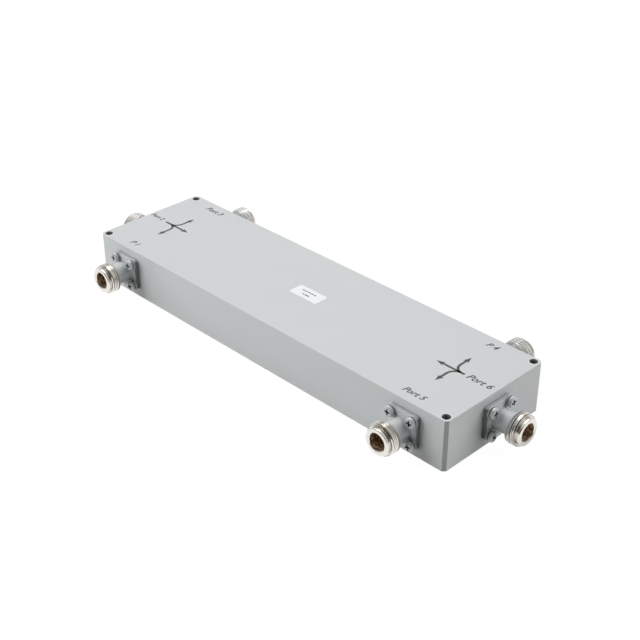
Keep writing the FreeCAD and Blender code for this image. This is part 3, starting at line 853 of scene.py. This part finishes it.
def fastener_tree():
    """One fastener on each point of a mesh, each turned by chance about its own axis."""
    tree, graph, given = new_tree("Fasteners", FASTENER_INPUTS)
    shape = graph.add("GeometryNodeObjectInfo", {"transform_space": "ORIGINAL"},
                      {"Object": given["Fastener"]}).out("Geometry")
    chance = graph.add("FunctionNodeRandomValue", {"data_type": "FLOAT"}, {
        2: 0.0, 3: 2 * math.pi, "Seed": given["Turn Seed"]}).out(1)
    turn = graph.add("ShaderNodeCombineXYZ", sockets={"Z": chance})
    placed = graph.add("GeometryNodeInstanceOnPoints", sockets={
        "Points": given["Geometry"], "Instance": shape, "Rotation": turn})
    end_tree(graph, placed, given["Material"], given["Recess Material"])
    return tree


def mark_recess(data, span, lowest, highest):
    """Marks the faces of a screw's recess by their place."""
    mark = data.attributes.new(MARK, "BOOLEAN", "FACE")
    for face in data.polygons:
        central = face.center.xy.length < span / 2
        mark.data[face.index].value = central and lowest < face.center.z < highest


def place_fasteners(name, places, master, seed, finish, matrix=None, recess=None):
    """A piece made of one copy of a master for each place."""
    data = bpy.data.meshes.new(name)
    data.from_pydata(places, [], [])
    piece = add_object(name, data)
    tree = bpy.data.node_groups.get("Fasteners") or fastener_tree()
    grow(piece, tree, {"Fastener": master, "Turn Seed": seed, "Material": finish,
                       "Recess Material": recess or finish})
    if MARK in piece.data.attributes:
        piece.data.attributes.remove(piece.data.attributes[MARK])
    if matrix is not None:
        piece.data.transform(matrix)
    return piece


# Pieces

def shared(name, make, *values):
    """A finish by name, made the first time that it is asked for."""
    return bpy.data.materials.get(name) or make(name, *values)


class COUPLER_OT_housing(bpy.types.Operator):
    """Paints the housing and its cover"""
    bl_idname = "coupler.housing"
    bl_label = "Housing and Cover"

    def execute(self, context):
        colours = context.scene.coupler_finishes
        paints = {"housing": housing_paint("grey_paint_housing", colours),
                  "cover_plate": shared("grey_paint", plain_paint, colours)}
        for node, paint in paints.items():
            piece = copy_of_node(node, node + "_painted", paint)
            if node == "housing":
                reshape(piece, self.flatten_edges)
            own(piece, "grey_paint", node)
        return {"FINISHED"}

    def flatten_edges(self, mesh):
        """Makes the four rounded upright edges flat chamfers."""
        start = HOUSING_HIGH.xy - Vector((CORNER_RADIUS, CORNER_RADIUS))
        for vertex in mesh.verts:
            inside = Vector((abs(vertex.co.x), abs(vertex.co.y))) - start
            if min(inside) < -MERGE_GAP:
                continue
            share = math.atan2(inside.y, inside.x) / (math.pi / 2)
            vertex.co.x = math.copysign(HOUSING_HIGH.x - CORNER_CUT * share, vertex.co.x)
            vertex.co.y = math.copysign(HOUSING_HIGH.y - CORNER_CUT * (1 - share), vertex.co.y)
        mesh.normal_update()


class COUPLER_OT_jacks(bpy.types.Operator):
    """Builds the jack bodies: flange, neck, real thread, relief groove, nose and bore"""
    bl_idname = "coupler.jacks"
    bl_label = "Jack Bodies"

    def execute(self, context):
        sizes = context.scene.coupler_jack
        colours = context.scene.coupler_finishes
        finish = JackFinish("painted_and_plated", colours, sizes).made()
        brown = bore_finish("brown_bore", colours, sizes)
        tree = thread_tree()
        for number in PORT_NUMBERS:
            mesh = bmesh.new()
            barrel = self.thread(tree, sizes, finish)
            mesh.from_mesh(barrel.data)
            bpy.data.objects.remove(barrel)
            skin(mesh, self.rear_rings(sizes))
            add_turned(mesh, self.front_path(sizes), sizes.segments)
            piece = add_piece("port_%d_jack" % number, mesh, finish)
            cut(piece, self.hole_cutter(sizes, context.scene.coupler_fasteners))
            dress(piece, finish, brown)
            self.line_bore(piece.data, sizes)
            piece.data.transform(port_matrix(number))
            own(piece, "nickel_plate", "port_%d_jack_body" % number)
        return {"FINISHED"}

    def thread(self, tree, sizes, finish):
        barrel = add_piece("thread", bmesh.new())
        return grow(barrel, tree, {
            "Radius": sizes.thread_radius, "Depth": sizes.thread_depth,
            "Pitch": sizes.thread_pitch, "Start": sizes.thread_start,
            "End": sizes.thread_end, "Rear Edge": sizes.thread_rear_edge,
            "Front Edge": sizes.thread_front_edge, "Segments": sizes.segments,
            "Material": finish})

    def rear_rings(self, sizes):
        """From the insulator's seat round the flange and up the neck to the thread."""
        count = sizes.segments
        half = FLANGE_SIDE / 2
        top = sizes.flange_thickness
        edge = sizes.flange_edge
        rings = [round_ring(sizes.seat_radius, 0, count)]
        outline = rounded([(0, 0, 0), (half, 0, edge), (half, top, edge), (0, top, 0)])
        for reach, height in outline[1:-1]:
            corner = sizes.flange_corner - (half - reach)
            rings.append(square_ring(reach, corner, height, count))
        neck = rounded([(half, top, 0), (sizes.neck_radius, top, sizes.neck_fillet),
                        (sizes.neck_radius, sizes.thread_start, 0)])
        rings += [round_ring(radius, height, count) for radius, height in neck[1:]]
        rings.append(round_ring(sizes.thread_radius - sizes.thread_rear_edge,
                                sizes.thread_start, count))
        return rings

    def front_path(self, sizes):
        """From the thread's front over the nose and down the bores to the seat."""
        mouth = sizes.mouth_radius
        edge = sizes.mouth_edge
        return rounded([
            (sizes.thread_radius - sizes.thread_front_edge, sizes.thread_end, 0),
            (sizes.relief_radius, sizes.thread_end, 0),
            (sizes.relief_radius, sizes.nose_start, 0),
            (sizes.nose_radius, sizes.nose_start, FINE_ROUNDING),
            (sizes.nose_radius, JACK_LENGTH, sizes.nose_edge),
            (mouth + edge, JACK_LENGTH, 0.1 * MM),
            (mouth, JACK_LENGTH - edge, 0.1 * MM),
            (mouth, sizes.mouth_floor, 0),
            (sizes.bore_radius, sizes.mouth_floor, 0),
            (sizes.bore_radius, sizes.seat_depth, 0),
            (sizes.seat_radius, sizes.seat_depth, 0),
            (sizes.seat_radius, 0, 0),
        ])

    def hole_cutter(self, sizes, fasteners):
        mesh = bmesh.new()
        radius = fasteners.hole_radius
        top = sizes.flange_thickness + MM
        for place in flange_places(fasteners):
            before = len(mesh.verts)
            add_turned(mesh, [(0, -MM), (radius, -MM), (radius, top), (0, top)], HOLE_FACETS)
            bmesh.ops.translate(mesh, verts=mesh.verts[before:], vec=place)
        return add_piece("hole_cutter", mesh)

    def line_bore(self, data, sizes):
        """Gives the faces inside the mouth the second finish."""
        limit = sizes.mouth_radius + 0.05 * MM
        for face in data.polygons:
            if face.center.xy.length < limit and face.center.z > sizes.seat_depth:
                face.material_index = 1


def flange_places(fasteners):
    """The four places of a flange's screws, on the jack's own axes."""
    half = fasteners.hole_pitch / 2
    return [(x, y, 0) for x in (-half, half) for y in (-half, half)]


def recess_cutter(span, width, depth, top):
    """A cross that tapers downwards, to cut the recess of a screw's head."""
    rings = [cross(span / 2 * share, width / 2 * (0.5 + share / 2), top + level)
             for level, share in ((-depth, 0.42), (depth * 0.25, 1.15))]
    return add_piece("recess_cutter", skin_with_ends(rings))


class COUPLER_OT_flange_screws(bpy.types.Operator):
    """Builds the pan head screws of the flanges, with cross recesses"""
    bl_idname = "coupler.flange_screws"
    bl_label = "Flange Screws"

    def execute(self, context):
        sizes = context.scene.coupler_fasteners
        paint = shared("grey_paint", plain_paint, context.scene.coupler_finishes)
        top = sizes.head_seat + sizes.head_height
        master = add_piece("pan_head_screw", turned([
            (0, -sizes.shank_reach, 0), (sizes.shank_radius, -sizes.shank_reach, 0.3 * MM),
            (sizes.shank_radius, sizes.head_seat, 0),
            (sizes.head_radius, sizes.head_seat, FINE_ROUNDING),
            (sizes.head_radius, top, sizes.head_round), (0, top, 0)], 6, SCREW_FACETS))
        cut(master, recess_cutter(sizes.recess_span, sizes.recess_width, sizes.recess_depth, top))
        mark_recess(master.data, sizes.recess_span + 0.1 * MM,
                    top - sizes.recess_depth - 0.1 * MM, top - 0.02 * MM)
        # Painted shade: a near-black colour in the screws' recesses.
        recess_shade = dark_finish("painted_recess_shade", context.scene.coupler_finishes.recess)
        for number in PORT_NUMBERS:
            piece = place_fasteners("port_%d_screws" % number, flange_places(sizes), master,
                                    number, paint, port_matrix(number), recess_shade)
            own(piece, "painted_fasteners", "port_%d_flange_screws" % number)
        bpy.data.objects.remove(master)
        return {"FINISHED"}


class COUPLER_OT_washers(bpy.types.Operator):
    """Builds the flat washers and the split spring washers under the screw heads"""
    bl_idname = "coupler.washers"
    bl_label = "Washers"

    def execute(self, context):
        sizes = context.scene.coupler_fasteners
        flange = context.scene.coupler_jack.flange_thickness
        paint = shared("grey_paint", plain_paint, context.scene.coupler_finishes)
        edge = sizes.washer_edge
        flat = add_piece("flat_washer", turned([
            (sizes.washer_bore, flange, 0), (sizes.flat_radius, flange, edge),
            (sizes.flat_radius, sizes.flat_top, edge), (sizes.washer_bore, sizes.flat_top, 0),
        ], 2, SCREW_FACETS, closed=True))
        spring = self.split_ring(sizes, edge)
        # Painted shade: the spring washers take a dark colour.
        washer_shade = dark_finish("spring_washer_shade", context.scene.coupler_finishes.washer_shade)
        for number in PORT_NUMBERS:
            matrix = port_matrix(number)
            for kind, master, seed, coat in (("flat", flat, number, paint),
                                             ("spring", spring, 10 + number, washer_shade)):
                piece = place_fasteners("port_%d_%s_rings" % (number, kind),
                                        flange_places(sizes), master, seed, coat, matrix)
                own(piece, "painted_fasteners", "port_%d_%s_washers" % (number, kind))
        bpy.data.objects.remove(flat)
        bpy.data.objects.remove(spring)
        return {"FINISHED"}

    def split_ring(self, sizes, edge):
        """A rounded section swept round the axis, from one side of the gap to the other."""
        section = rounded([
            (sizes.washer_bore, sizes.flat_top, edge), (sizes.spring_radius, sizes.flat_top, edge),
            (sizes.spring_radius, sizes.head_seat, edge),
            (sizes.washer_bore, sizes.head_seat, edge)], 2)
        half_gap = sizes.spring_gap / 2 / sizes.spring_radius
        rings = []
        for index in range(SPRING_STEPS + 1):
            angle = half_gap + (2 * math.pi - 2 * half_gap) * index / SPRING_STEPS
            rings.append([Vector((x * math.cos(angle), x * math.sin(angle), y))
                          for x, y in reversed(section)])
        mesh = skin_with_ends(rings)
        bmesh.ops.recalc_face_normals(mesh, faces=mesh.faces)
        return add_piece("spring_washer", mesh)


class COUPLER_OT_contacts(bpy.types.Operator):
    """Builds the slit centre contacts and the insulators that hold them"""
    bl_idname = "coupler.contacts"
    bl_label = "Contacts and Insulators"

    def execute(self, context):
        sizes = context.scene.coupler_jack
        colours = context.scene.coupler_finishes
        gold = metal_finish("gold_plate", colours.gold, 0.16, 0.08)
        white = shared("white_dielectric", plastic_finish, colours.plastic)
        for number in PORT_NUMBERS:
            matrix = port_matrix(number)
            contact = self.contact(number, sizes, gold, matrix)
            own(contact, "gold_plate", "port_%d_centre_contact" % number)
            front = sizes.insulator_front
            mesh = turned([
                (sizes.contact_radius, 0, 0), (sizes.seat_radius, 0, 0),
                (sizes.seat_radius, sizes.seat_depth, 0),
                (sizes.bore_radius, sizes.seat_depth, 0),
                (sizes.bore_radius, front, 0.15 * MM), (sizes.contact_radius, front, 0),
            ], 3, INSULATOR_FACETS, closed=True)
            insulator = add_piece("port_%d_bead" % number, mesh, white, matrix)
            own(insulator, "white_dielectric", "port_%d_insulator" % number)
        return {"FINISHED"}

    def contact(self, number, sizes, gold, matrix):
        low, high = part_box("port_%d_centre_contact" % number)
        reach = max(high - low) - sizes.contact_tip
        tip = sizes.contact_tip
        floor = tip - sizes.socket_depth
        edge = sizes.contact_edge
        mesh = turned([
            (0, -reach, 0), (sizes.contact_radius, -reach, edge),
            (sizes.contact_radius, tip, edge), (sizes.socket_radius, tip, FINE_ROUNDING),
            (sizes.socket_radius, floor, 0), (0, floor, 0)], 4, SCREW_FACETS)
        piece = add_piece("port_%d_contact" % number, mesh, gold)
        rings = [cross(sizes.contact_radius * 2, sizes.slit_width / 2, level)
                 for level in (tip - sizes.slit_length, tip + MM)]
        cut(piece, add_piece("slit_cutter", skin_with_ends(rings)))
        piece.data.transform(matrix)
        return piece


SIDE_COLUMNS = 6


class COUPLER_OT_cover_screws(bpy.types.Operator):
    """Builds the countersunk screws of the cover on the underside"""
    bl_idname = "coupler.cover_screws"
    bl_label = "Cover Screws"

    def execute(self, context):
        sizes = context.scene.coupler_fasteners
        steel = metal_finish("stainless_steel", context.scene.coupler_finishes.steel, 0.3, 0.1)
        rim = sizes.cover_head_rim
        cone = sizes.cover_head_radius - sizes.cover_shank_radius
        master = add_piece("countersunk_screw", turned([
            (0, -sizes.cover_length, 0),
            (sizes.cover_shank_radius, -sizes.cover_length, 0.2 * MM),
            (sizes.cover_shank_radius, -rim - cone, 0), (sizes.cover_head_radius, -rim, 0),
            (sizes.cover_head_radius, 0, 0.08 * MM), (0, 0, 0)], 3, COVER_SCREW_FACETS))
        cut(master, recess_cutter(sizes.cover_recess_span, sizes.cover_recess_width,
                                  sizes.cover_recess_depth, 0))
        master.data.transform(Matrix.Rotation(math.pi, 4, "X"))
        piece = place_fasteners("underside_screws", self.places(sizes), master, 3, steel)
        own(piece, "steel_fasteners", "cover_screws")
        bpy.data.objects.remove(master)
        return {"FINISHED"}

    def places(self, sizes):
        end = COVER_HIGH.x - sizes.cover_inset
        side = COVER_HIGH.y - sizes.cover_inset
        first = (SIDE_COLUMNS - 1) / 2
        columns = [-end, end] + [sizes.cover_pitch * (step - first)
                                 for step in range(SIDE_COLUMNS)]
        places = [(x, y, COVER_LOW.z) for x in columns for y in (-side, side)]
        return places + [(-end, 0, COVER_LOW.z), (end, 0, COVER_LOW.z)]


class COUPLER_OT_inner_lines(bpy.types.Operator):
    """Gives the lines inside the housing and their supports their finishes"""
    bl_idname = "coupler.inner_lines"
    bl_label = "Inner Lines"

    def execute(self, context):
        colours = context.scene.coupler_finishes
        silver = metal_finish("silver_plate", colours.silver, 0.2, 0.1)
        white = shared("white_dielectric", plastic_finish, colours.plastic)
        for name, node in NODES.items():
            if name in ("main_line", "coupled_line_front", "coupled_line_back"):
                dress(node, silver)
            elif name.startswith("line_support"):
                dress(node, white)
        return {"FINISHED"}


# Print on the top face

ARROW_NOTCH = 0.22
CURVE_STEPS = 14
LETTER_STEPS = 4


class Stroke:
    """Flat ink on a level face, made of closed slabs."""

    def __init__(self, level, height):
        self.mesh = bmesh.new()
        self.level = level
        self.height = height

    def slab(self, outline):
        """One closed slab on an anticlockwise outline."""
        low = [self.mesh.verts.new((x, y, self.level)) for x, y in outline]
        high = [self.mesh.verts.new((x, y, self.level + self.height)) for x, y in outline]
        for index in range(len(outline)):
            after = (index + 1) % len(outline)
            self.mesh.faces.new([low[index], low[after], high[after], high[index]])
        self.mesh.faces.new(high)
        self.mesh.faces.new(list(reversed(low)))

    def band(self, line, width):
        """A band of one width along a line of points."""
        left, right = [], []
        for index, point in enumerate(line):
            before = line[max(index - 1, 0)]
            after = line[min(index + 1, len(line) - 1)]
            side = (after - before).normalized().orthogonal() * (width / 2)
            left.append(point + side)
            right.append(point - side)
        self.slab(right + left[::-1])

    def arrow(self, base, tip, width):
        """A slim arrow head with a notched back."""
        along = tip - base
        side = along.normalized().orthogonal() * (width / 2)
        self.slab((tip, base + side, base + along * ARROW_NOTCH, base - side))

    def piece(self, name, finish):
        bmesh.ops.recalc_face_normals(self.mesh, faces=self.mesh.faces)
        return add_piece(name, self.mesh, finish)


def curve_points(start, pull, push, end):
    """Points along a curve that leaves start towards pull and comes to end from push."""
    points = []
    for index in range(CURVE_STEPS + 1):
        share = index / CURVE_STEPS
        rest = 1 - share
        points.append(start * rest ** 3 + pull * (3 * rest * rest * share)
                      + push * (3 * rest * share * share) + end * share ** 3)
    return points


# Each flow mark: its line's start, the branches' crossing, the tip and the branches' end
FLOW_MARKS = (("input_mark", -109.9, -105.4, -91.1, -101.0),
              ("output_mark", 105.5, 103.6, 88.7, 99.0))
BRANCH_REACH = 13.0 * MM
ROUND_PULL = 0.55
TURN_REACH = 5.0 * MM


class COUPLER_OT_flow_marks(bpy.types.Operator):
    """Prints the two arrow signs that show how the signal divides at each end"""
    bl_idname = "coupler.flow_marks"
    bl_label = "Flow Marks"

    def execute(self, context):
        sizes = context.scene.coupler_print
        ink = shared("ink", ink_finish, context.scene.coupler_finishes.ink)
        for name, *places in FLOW_MARKS:
            stroke = Stroke(TOP, sizes.ink_height)
            self.print_mark(stroke, sizes, *(place * MM for place in places))
            own(stroke.piece(name, ink), "label_film")
        return {"FINISHED"}

    def print_mark(self, stroke, sizes, start, crossing, tip, bend):
        forward = 1 if tip > start else -1
        base = tip - forward * sizes.head_length
        stroke.band([Vector((start, 0)), Vector((base + forward * MM, 0))], sizes.stroke)
        stroke.arrow(Vector((base, 0)), Vector((tip, 0)), sizes.head_width)
        for side in (-1, 1):
            reach = BRANCH_REACH * side
            neck = reach - side * sizes.head_length
            line = curve_points(Vector((crossing, 0)),
                                Vector((crossing + (bend - crossing) * ROUND_PULL, 0)),
                                Vector((bend, TURN_REACH * (1 - ROUND_PULL) * side)),
                                Vector((bend, TURN_REACH * side)))
            stroke.band(line + [Vector((bend, neck + side * MM))], sizes.stroke)
            stroke.arrow(Vector((bend, neck)), Vector((bend, reach)), sizes.head_width)


# Each port's name on the top face, its middle in millimetres and its share of the text size
NAMES = {1: ("P 1", -101.6, -28.0, 1.0), 2: ("Port 2", -118.3, 0.6, 0.8),
         3: ("Port 3", -100.9, 27.6, 1.0), 4: ("P 4", 99.4, 27.5, 1.0),
         5: ("Port 5", 99.3, -27.5, 1.0), 6: ("Port 6", 113.9, 0.2, 1.12)}


class COUPLER_OT_port_names(bpy.types.Operator):
    """Prints a plain name beside each jack"""
    bl_idname = "coupler.port_names"
    bl_label = "Port Names"

    def execute(self, context):
        sizes = context.scene.coupler_print
        ink = shared("ink", ink_finish, context.scene.coupler_finishes.ink)
        middle = TOP + sizes.ink_height / 2
        for number, (words, x, y, share) in NAMES.items():
            name = self.write(words, sizes, share, ink, number)
            name.data.transform(Matrix.Translation((x * MM, y * MM, middle)))
            own(name, "label_film")
        return {"FINISHED"}

    def write(self, words, sizes, share, ink, number):
        text = bpy.data.curves.new("port_name", "FONT")
        text.body = words
        text.size = sizes.text_size * share
        text.shear = sizes.slant
        text.align_x = "CENTER"
        text.align_y = "CENTER"
        text.extrude = sizes.ink_height / 2
        text.resolution_u = LETTER_STEPS
        text.offset = sizes.thickening
        carrier = add_object("port_name", text)
        piece = add_object("name_%d" % number, evaluated_mesh(carrier))
        bpy.data.objects.remove(carrier)
        dress(piece, ink)
        return piece


# Each row of bars on the label: its place up, its width, and the ends of each bar
LABEL_ROWS = (
    (1.4, 0.85, ((-5.4, -3.9), (-3.5, -2.0), (-1.5, 0.2), (0.6, 2.2), (2.7, 4.0))),
    (-1.5, 0.95, ((-2.6, -1.5), (-1.1, 2.0))),
)
LABEL_EDGE = 0.06 * MM
CORNER_STEPS = 6


class COUPLER_OT_label(bpy.types.Operator):
    """Builds the label's film and the plain bars printed on it"""
    bl_idname = "coupler.label"
    bl_label = "Label"

    def execute(self, context):
        sizes = context.scene.coupler_print
        colours = context.scene.coupler_finishes
        half = (LABEL_HIGH - LABEL_LOW) / 2
        middle = (LABEL_HIGH + LABEL_LOW) / 2
        height = LABEL_HIGH.z - LABEL_LOW.z - sizes.ink_height
        rings = []
        for inset, level in ((0, 0), (0, height - LABEL_EDGE), (LABEL_EDGE, height)):
            rings.append(self.outline(half.x - inset, half.y - inset,
                                      sizes.label_corner - inset, level))
        place = Matrix.Translation((middle.x, middle.y, LABEL_LOW.z))
        film = add_piece("label_film", skin_with_ends(rings),
                         film_finish("label_film", colours.film), place)
        own(film, "label_film", "label")

        ink = ink_finish("faded_ink", colours.faded_ink)
        stroke = Stroke(LABEL_LOW.z + height, sizes.ink_height)
        for y, width, bars in LABEL_ROWS:
            for left, right in bars:
                line = [Vector((middle.x + x * MM, middle.y + y * MM)) for x in (left, right)]
                stroke.band(line, width * MM)
        own(stroke.piece("label_bars", ink), "label_film")
        return {"FINISHED"}

    def outline(self, half_x, half_y, corner, level):
        points = []
        for quarter, (x, y) in enumerate(((1, -1), (1, 1), (-1, 1), (-1, -1))):
            for step in range(CORNER_STEPS + 1):
                angle = math.pi / 2 * (quarter - 1 + step / CORNER_STEPS)
                points.append(Vector((x * (half_x - corner) + corner * math.cos(angle),
                                      y * (half_y - corner) + corner * math.sin(angle), level)))
        return points


# Studio

# For each power setting the name, turn about Z and height angle in degrees, side in metres and
# share of the power of each light. Reflections show only the light above.
LIGHTS = {
    "top_power": (("light_top", 135, 55, 0.9, 1.0),),
    "left_power": (("light_left_high", -125, 35, 0.9, 0.552),
                   ("light_left_far", -155, 8, 0.6, 0.280),
                   ("light_left_near", -100, 8, 0.6, 0.110)),
    "right_power": (("light_right_high", 35, 35, 1.6, 0.840),
                    ("light_right_low", 35, 8, 0.6, 0.160)),
}
LIGHT_DISTANCE = 1.5
WHITE = (1, 1, 1, 1)

# The floor, and how much of its glow the camera and reflections see
FLOOR_SHADE = opaque((0.62, 0.62, 0.62))
FLOOR_GLOW = 1.08
FLOOR_REACH = 2.0
FLOOR_GAP = 0.2 * MM
SEEN_GLOW = 0.9
MIRRORED_GLOW = 0.95

# What reflections show: white, with a dark side turned from the camera's direction
DARK_TURN = math.radians(-25)
DARK_SHADE = opaque((0.07, 0.06, 0.05))
DARK_FROM, DARK_TO = 0.1, 0.75
MIRRORED_STRENGTH = 0.8


class COUPLER_OT_studio(bpy.types.Operator):
    """Sets up the floor, the soft lights, the pale surroundings and the camera"""
    bl_idname = "coupler.studio"
    bl_label = "Studio"

    def execute(self, context):
        settings = context.scene.coupler_studio
        context.scene.view_settings.view_transform = "Standard"
        azimuth, elevation = settings.azimuth, settings.elevation
        right = Vector((math.cos(azimuth), math.sin(azimuth), 0))
        back = Vector((math.sin(azimuth) * math.cos(elevation),
                       -math.cos(azimuth) * math.cos(elevation), math.sin(elevation)))
        up = back.cross(right)
        camera = bpy.data.objects.new("camera", bpy.data.cameras.new("camera"))
        camera.data.lens = settings.lens
        camera.data.clip_start = 10 * MM
        camera.matrix_world = Matrix((right, up, back)).transposed().to_4x4()
        camera.location = (back * settings.distance + right * settings.pan_right
                           + up * settings.pan_up)
        context.collection.objects.link(camera)
        context.scene.camera = camera

        for power, lights in LIGHTS.items():
            for name, turn, height, side, share in lights:
                lamp = self.light(name, turn, height, side, getattr(settings, power) * share)
                lamp.visible_glossy = power == "top_power"
        self.floor()
        near = Vector((back.x, back.y, 0)).normalized()
        near.rotate(Matrix.Rotation(DARK_TURN, 3, "Z"))
        self.surroundings(near)
        return {"FINISHED"}

    def light(self, name, turn, height, side, power):
        """A square light that shines on the object from a turn about Z and a height angle."""
        turn, height = math.radians(turn), math.radians(height)
        place = Vector((math.cos(turn) * math.cos(height), math.sin(turn) * math.cos(height),
                        math.sin(height)))
        lamp = bpy.data.lights.new(name, "AREA")
        lamp.shape = "SQUARE"
        lamp.size = side
        lamp.energy = power
        carrier = bpy.data.objects.new(name, lamp)
        carrier.matrix_world = place.to_track_quat("Z", "Y").to_matrix().to_4x4()
        carrier.location = place * LIGHT_DISTANCE + Vector((0, 0, TOP / 2))
        bpy.context.collection.objects.link(carrier)
        return carrier

    def floor(self):
        """A white floor that the camera and reflections see as nearly pure white."""
        finish = Finish("floor_white")
        rays = finish.add("ShaderNodeLightPath")
        seen = ((rays.out("Is Camera Ray") + rays.out("Is Transmission Ray")) * SEEN_GLOW
                + rays.out("Is Glossy Ray") * MIRRORED_GLOW).clamped(0, 1)
        matt = finish.add("ShaderNodeBsdfDiffuse", sockets={"Color": FLOOR_SHADE})
        glow = finish.add("ShaderNodeEmission",
                          sockets={"Color": WHITE, "Strength": FLOOR_GLOW})
        mixed = finish.add("ShaderNodeMixShader", sockets={0: seen, 1: matt, 2: glow})
        finish.add("ShaderNodeOutputMaterial", sockets={"Surface": mixed})
        mesh = bmesh.new()
        corners = ((-1, -1), (1, -1), (1, 1), (-1, 1))
        level = HOUSING_LOW.z - FLOOR_GAP
        mesh.faces.new([mesh.verts.new((x * FLOOR_REACH, y * FLOOR_REACH, level))
                        for x, y in corners])
        add_piece("floor", mesh, finish.material)

    def surroundings(self, near):
        """White all round for the camera; for reflections darker towards one direction."""
        world = bpy.data.worlds.new("studio")
        world.use_nodes = True
        world.node_tree.nodes.clear()
        graph = Graph(world.node_tree)
        rays = graph.add("ShaderNodeLightPath")
        direction = graph.add("ShaderNodeTexCoord").out("Generated")
        facing = graph.add("ShaderNodeVectorMath", {"operation": "DOT_PRODUCT"},
                           {0: direction, 1: tuple(near)}).out("Value")
        shade = graph.step(facing, DARK_FROM, DARK_TO)
        tint = graph.add("ShaderNodeMix", {"data_type": "RGBA"},
                         {0: shade, 6: WHITE, 7: DARK_SHADE}).out(2)
        strength = rays.out("Is Glossy Ray") * MIRRORED_STRENGTH
        around = graph.add("ShaderNodeBackground",
                           sockets={"Color": tint, "Strength": strength})
        white = graph.add("ShaderNodeBackground", sockets={"Color": WHITE, "Strength": 1.0})
        seen = (rays.out("Is Camera Ray") + rays.out("Is Transmission Ray")).clamped(0, 1)
        mixed = graph.add("ShaderNodeMixShader", sockets={0: seen, 1: around, 2: white})
        graph.add("ShaderNodeOutputWorld", sockets={"Surface": mixed})
        bpy.context.scene.world = world


OPERATORS = (
    COUPLER_OT_housing, COUPLER_OT_jacks, COUPLER_OT_contacts, COUPLER_OT_flange_screws,
    COUPLER_OT_washers, COUPLER_OT_cover_screws, COUPLER_OT_inner_lines, COUPLER_OT_label,
    COUPLER_OT_flow_marks, COUPLER_OT_port_names, COUPLER_OT_studio,
)
SETTINGS = {
    "coupler_jack": JackSizes,
    "coupler_fasteners": FastenerSizes,
    "coupler_print": PrintSizes,
    "coupler_finishes": Finishes,
    "coupler_studio": StudioSettings,
}


class COUPLER_PT_panel(bpy.types.Panel):
    """Lists the pieces of the coupler in the sidebar"""
    bl_idname = "COUPLER_PT_panel"
    bl_label = "Directional Coupler"
    bl_space_type = "VIEW_3D"
    bl_region_type = "UI"
    bl_category = "Coupler"

    def draw(self, context):
        for operator in OPERATORS:
            self.layout.operator(operator.bl_idname)
        for name, group in SETTINGS.items():
            box = self.layout.box()
            settings = getattr(context.scene, name)
            for key in group.__annotations__:
                box.prop(settings, key)


CLASSES = (*SETTINGS.values(), *OPERATORS, COUPLER_PT_panel)


def register():
    for item in CLASSES:
        bpy.utils.register_class(item)
    for name, group in SETTINGS.items():
        setattr(bpy.types.Scene, name, PointerProperty(type=group))


def unregister():
    for name in SETTINGS:
        delattr(bpy.types.Scene, name)
    for item in reversed(CLASSES):
        bpy.utils.unregister_class(item)


def main():
    register()
    bpy.ops.coupler.housing()
    bpy.ops.coupler.jacks()
    bpy.ops.coupler.contacts()
    bpy.ops.coupler.flange_screws()
    bpy.ops.coupler.washers()
    bpy.ops.coupler.cover_screws()
    bpy.ops.coupler.inner_lines()
    bpy.ops.coupler.label()
    bpy.ops.coupler.flow_marks()
    bpy.ops.coupler.port_names()
    bpy.ops.coupler.studio()


if __name__ == "__main__":
    main()
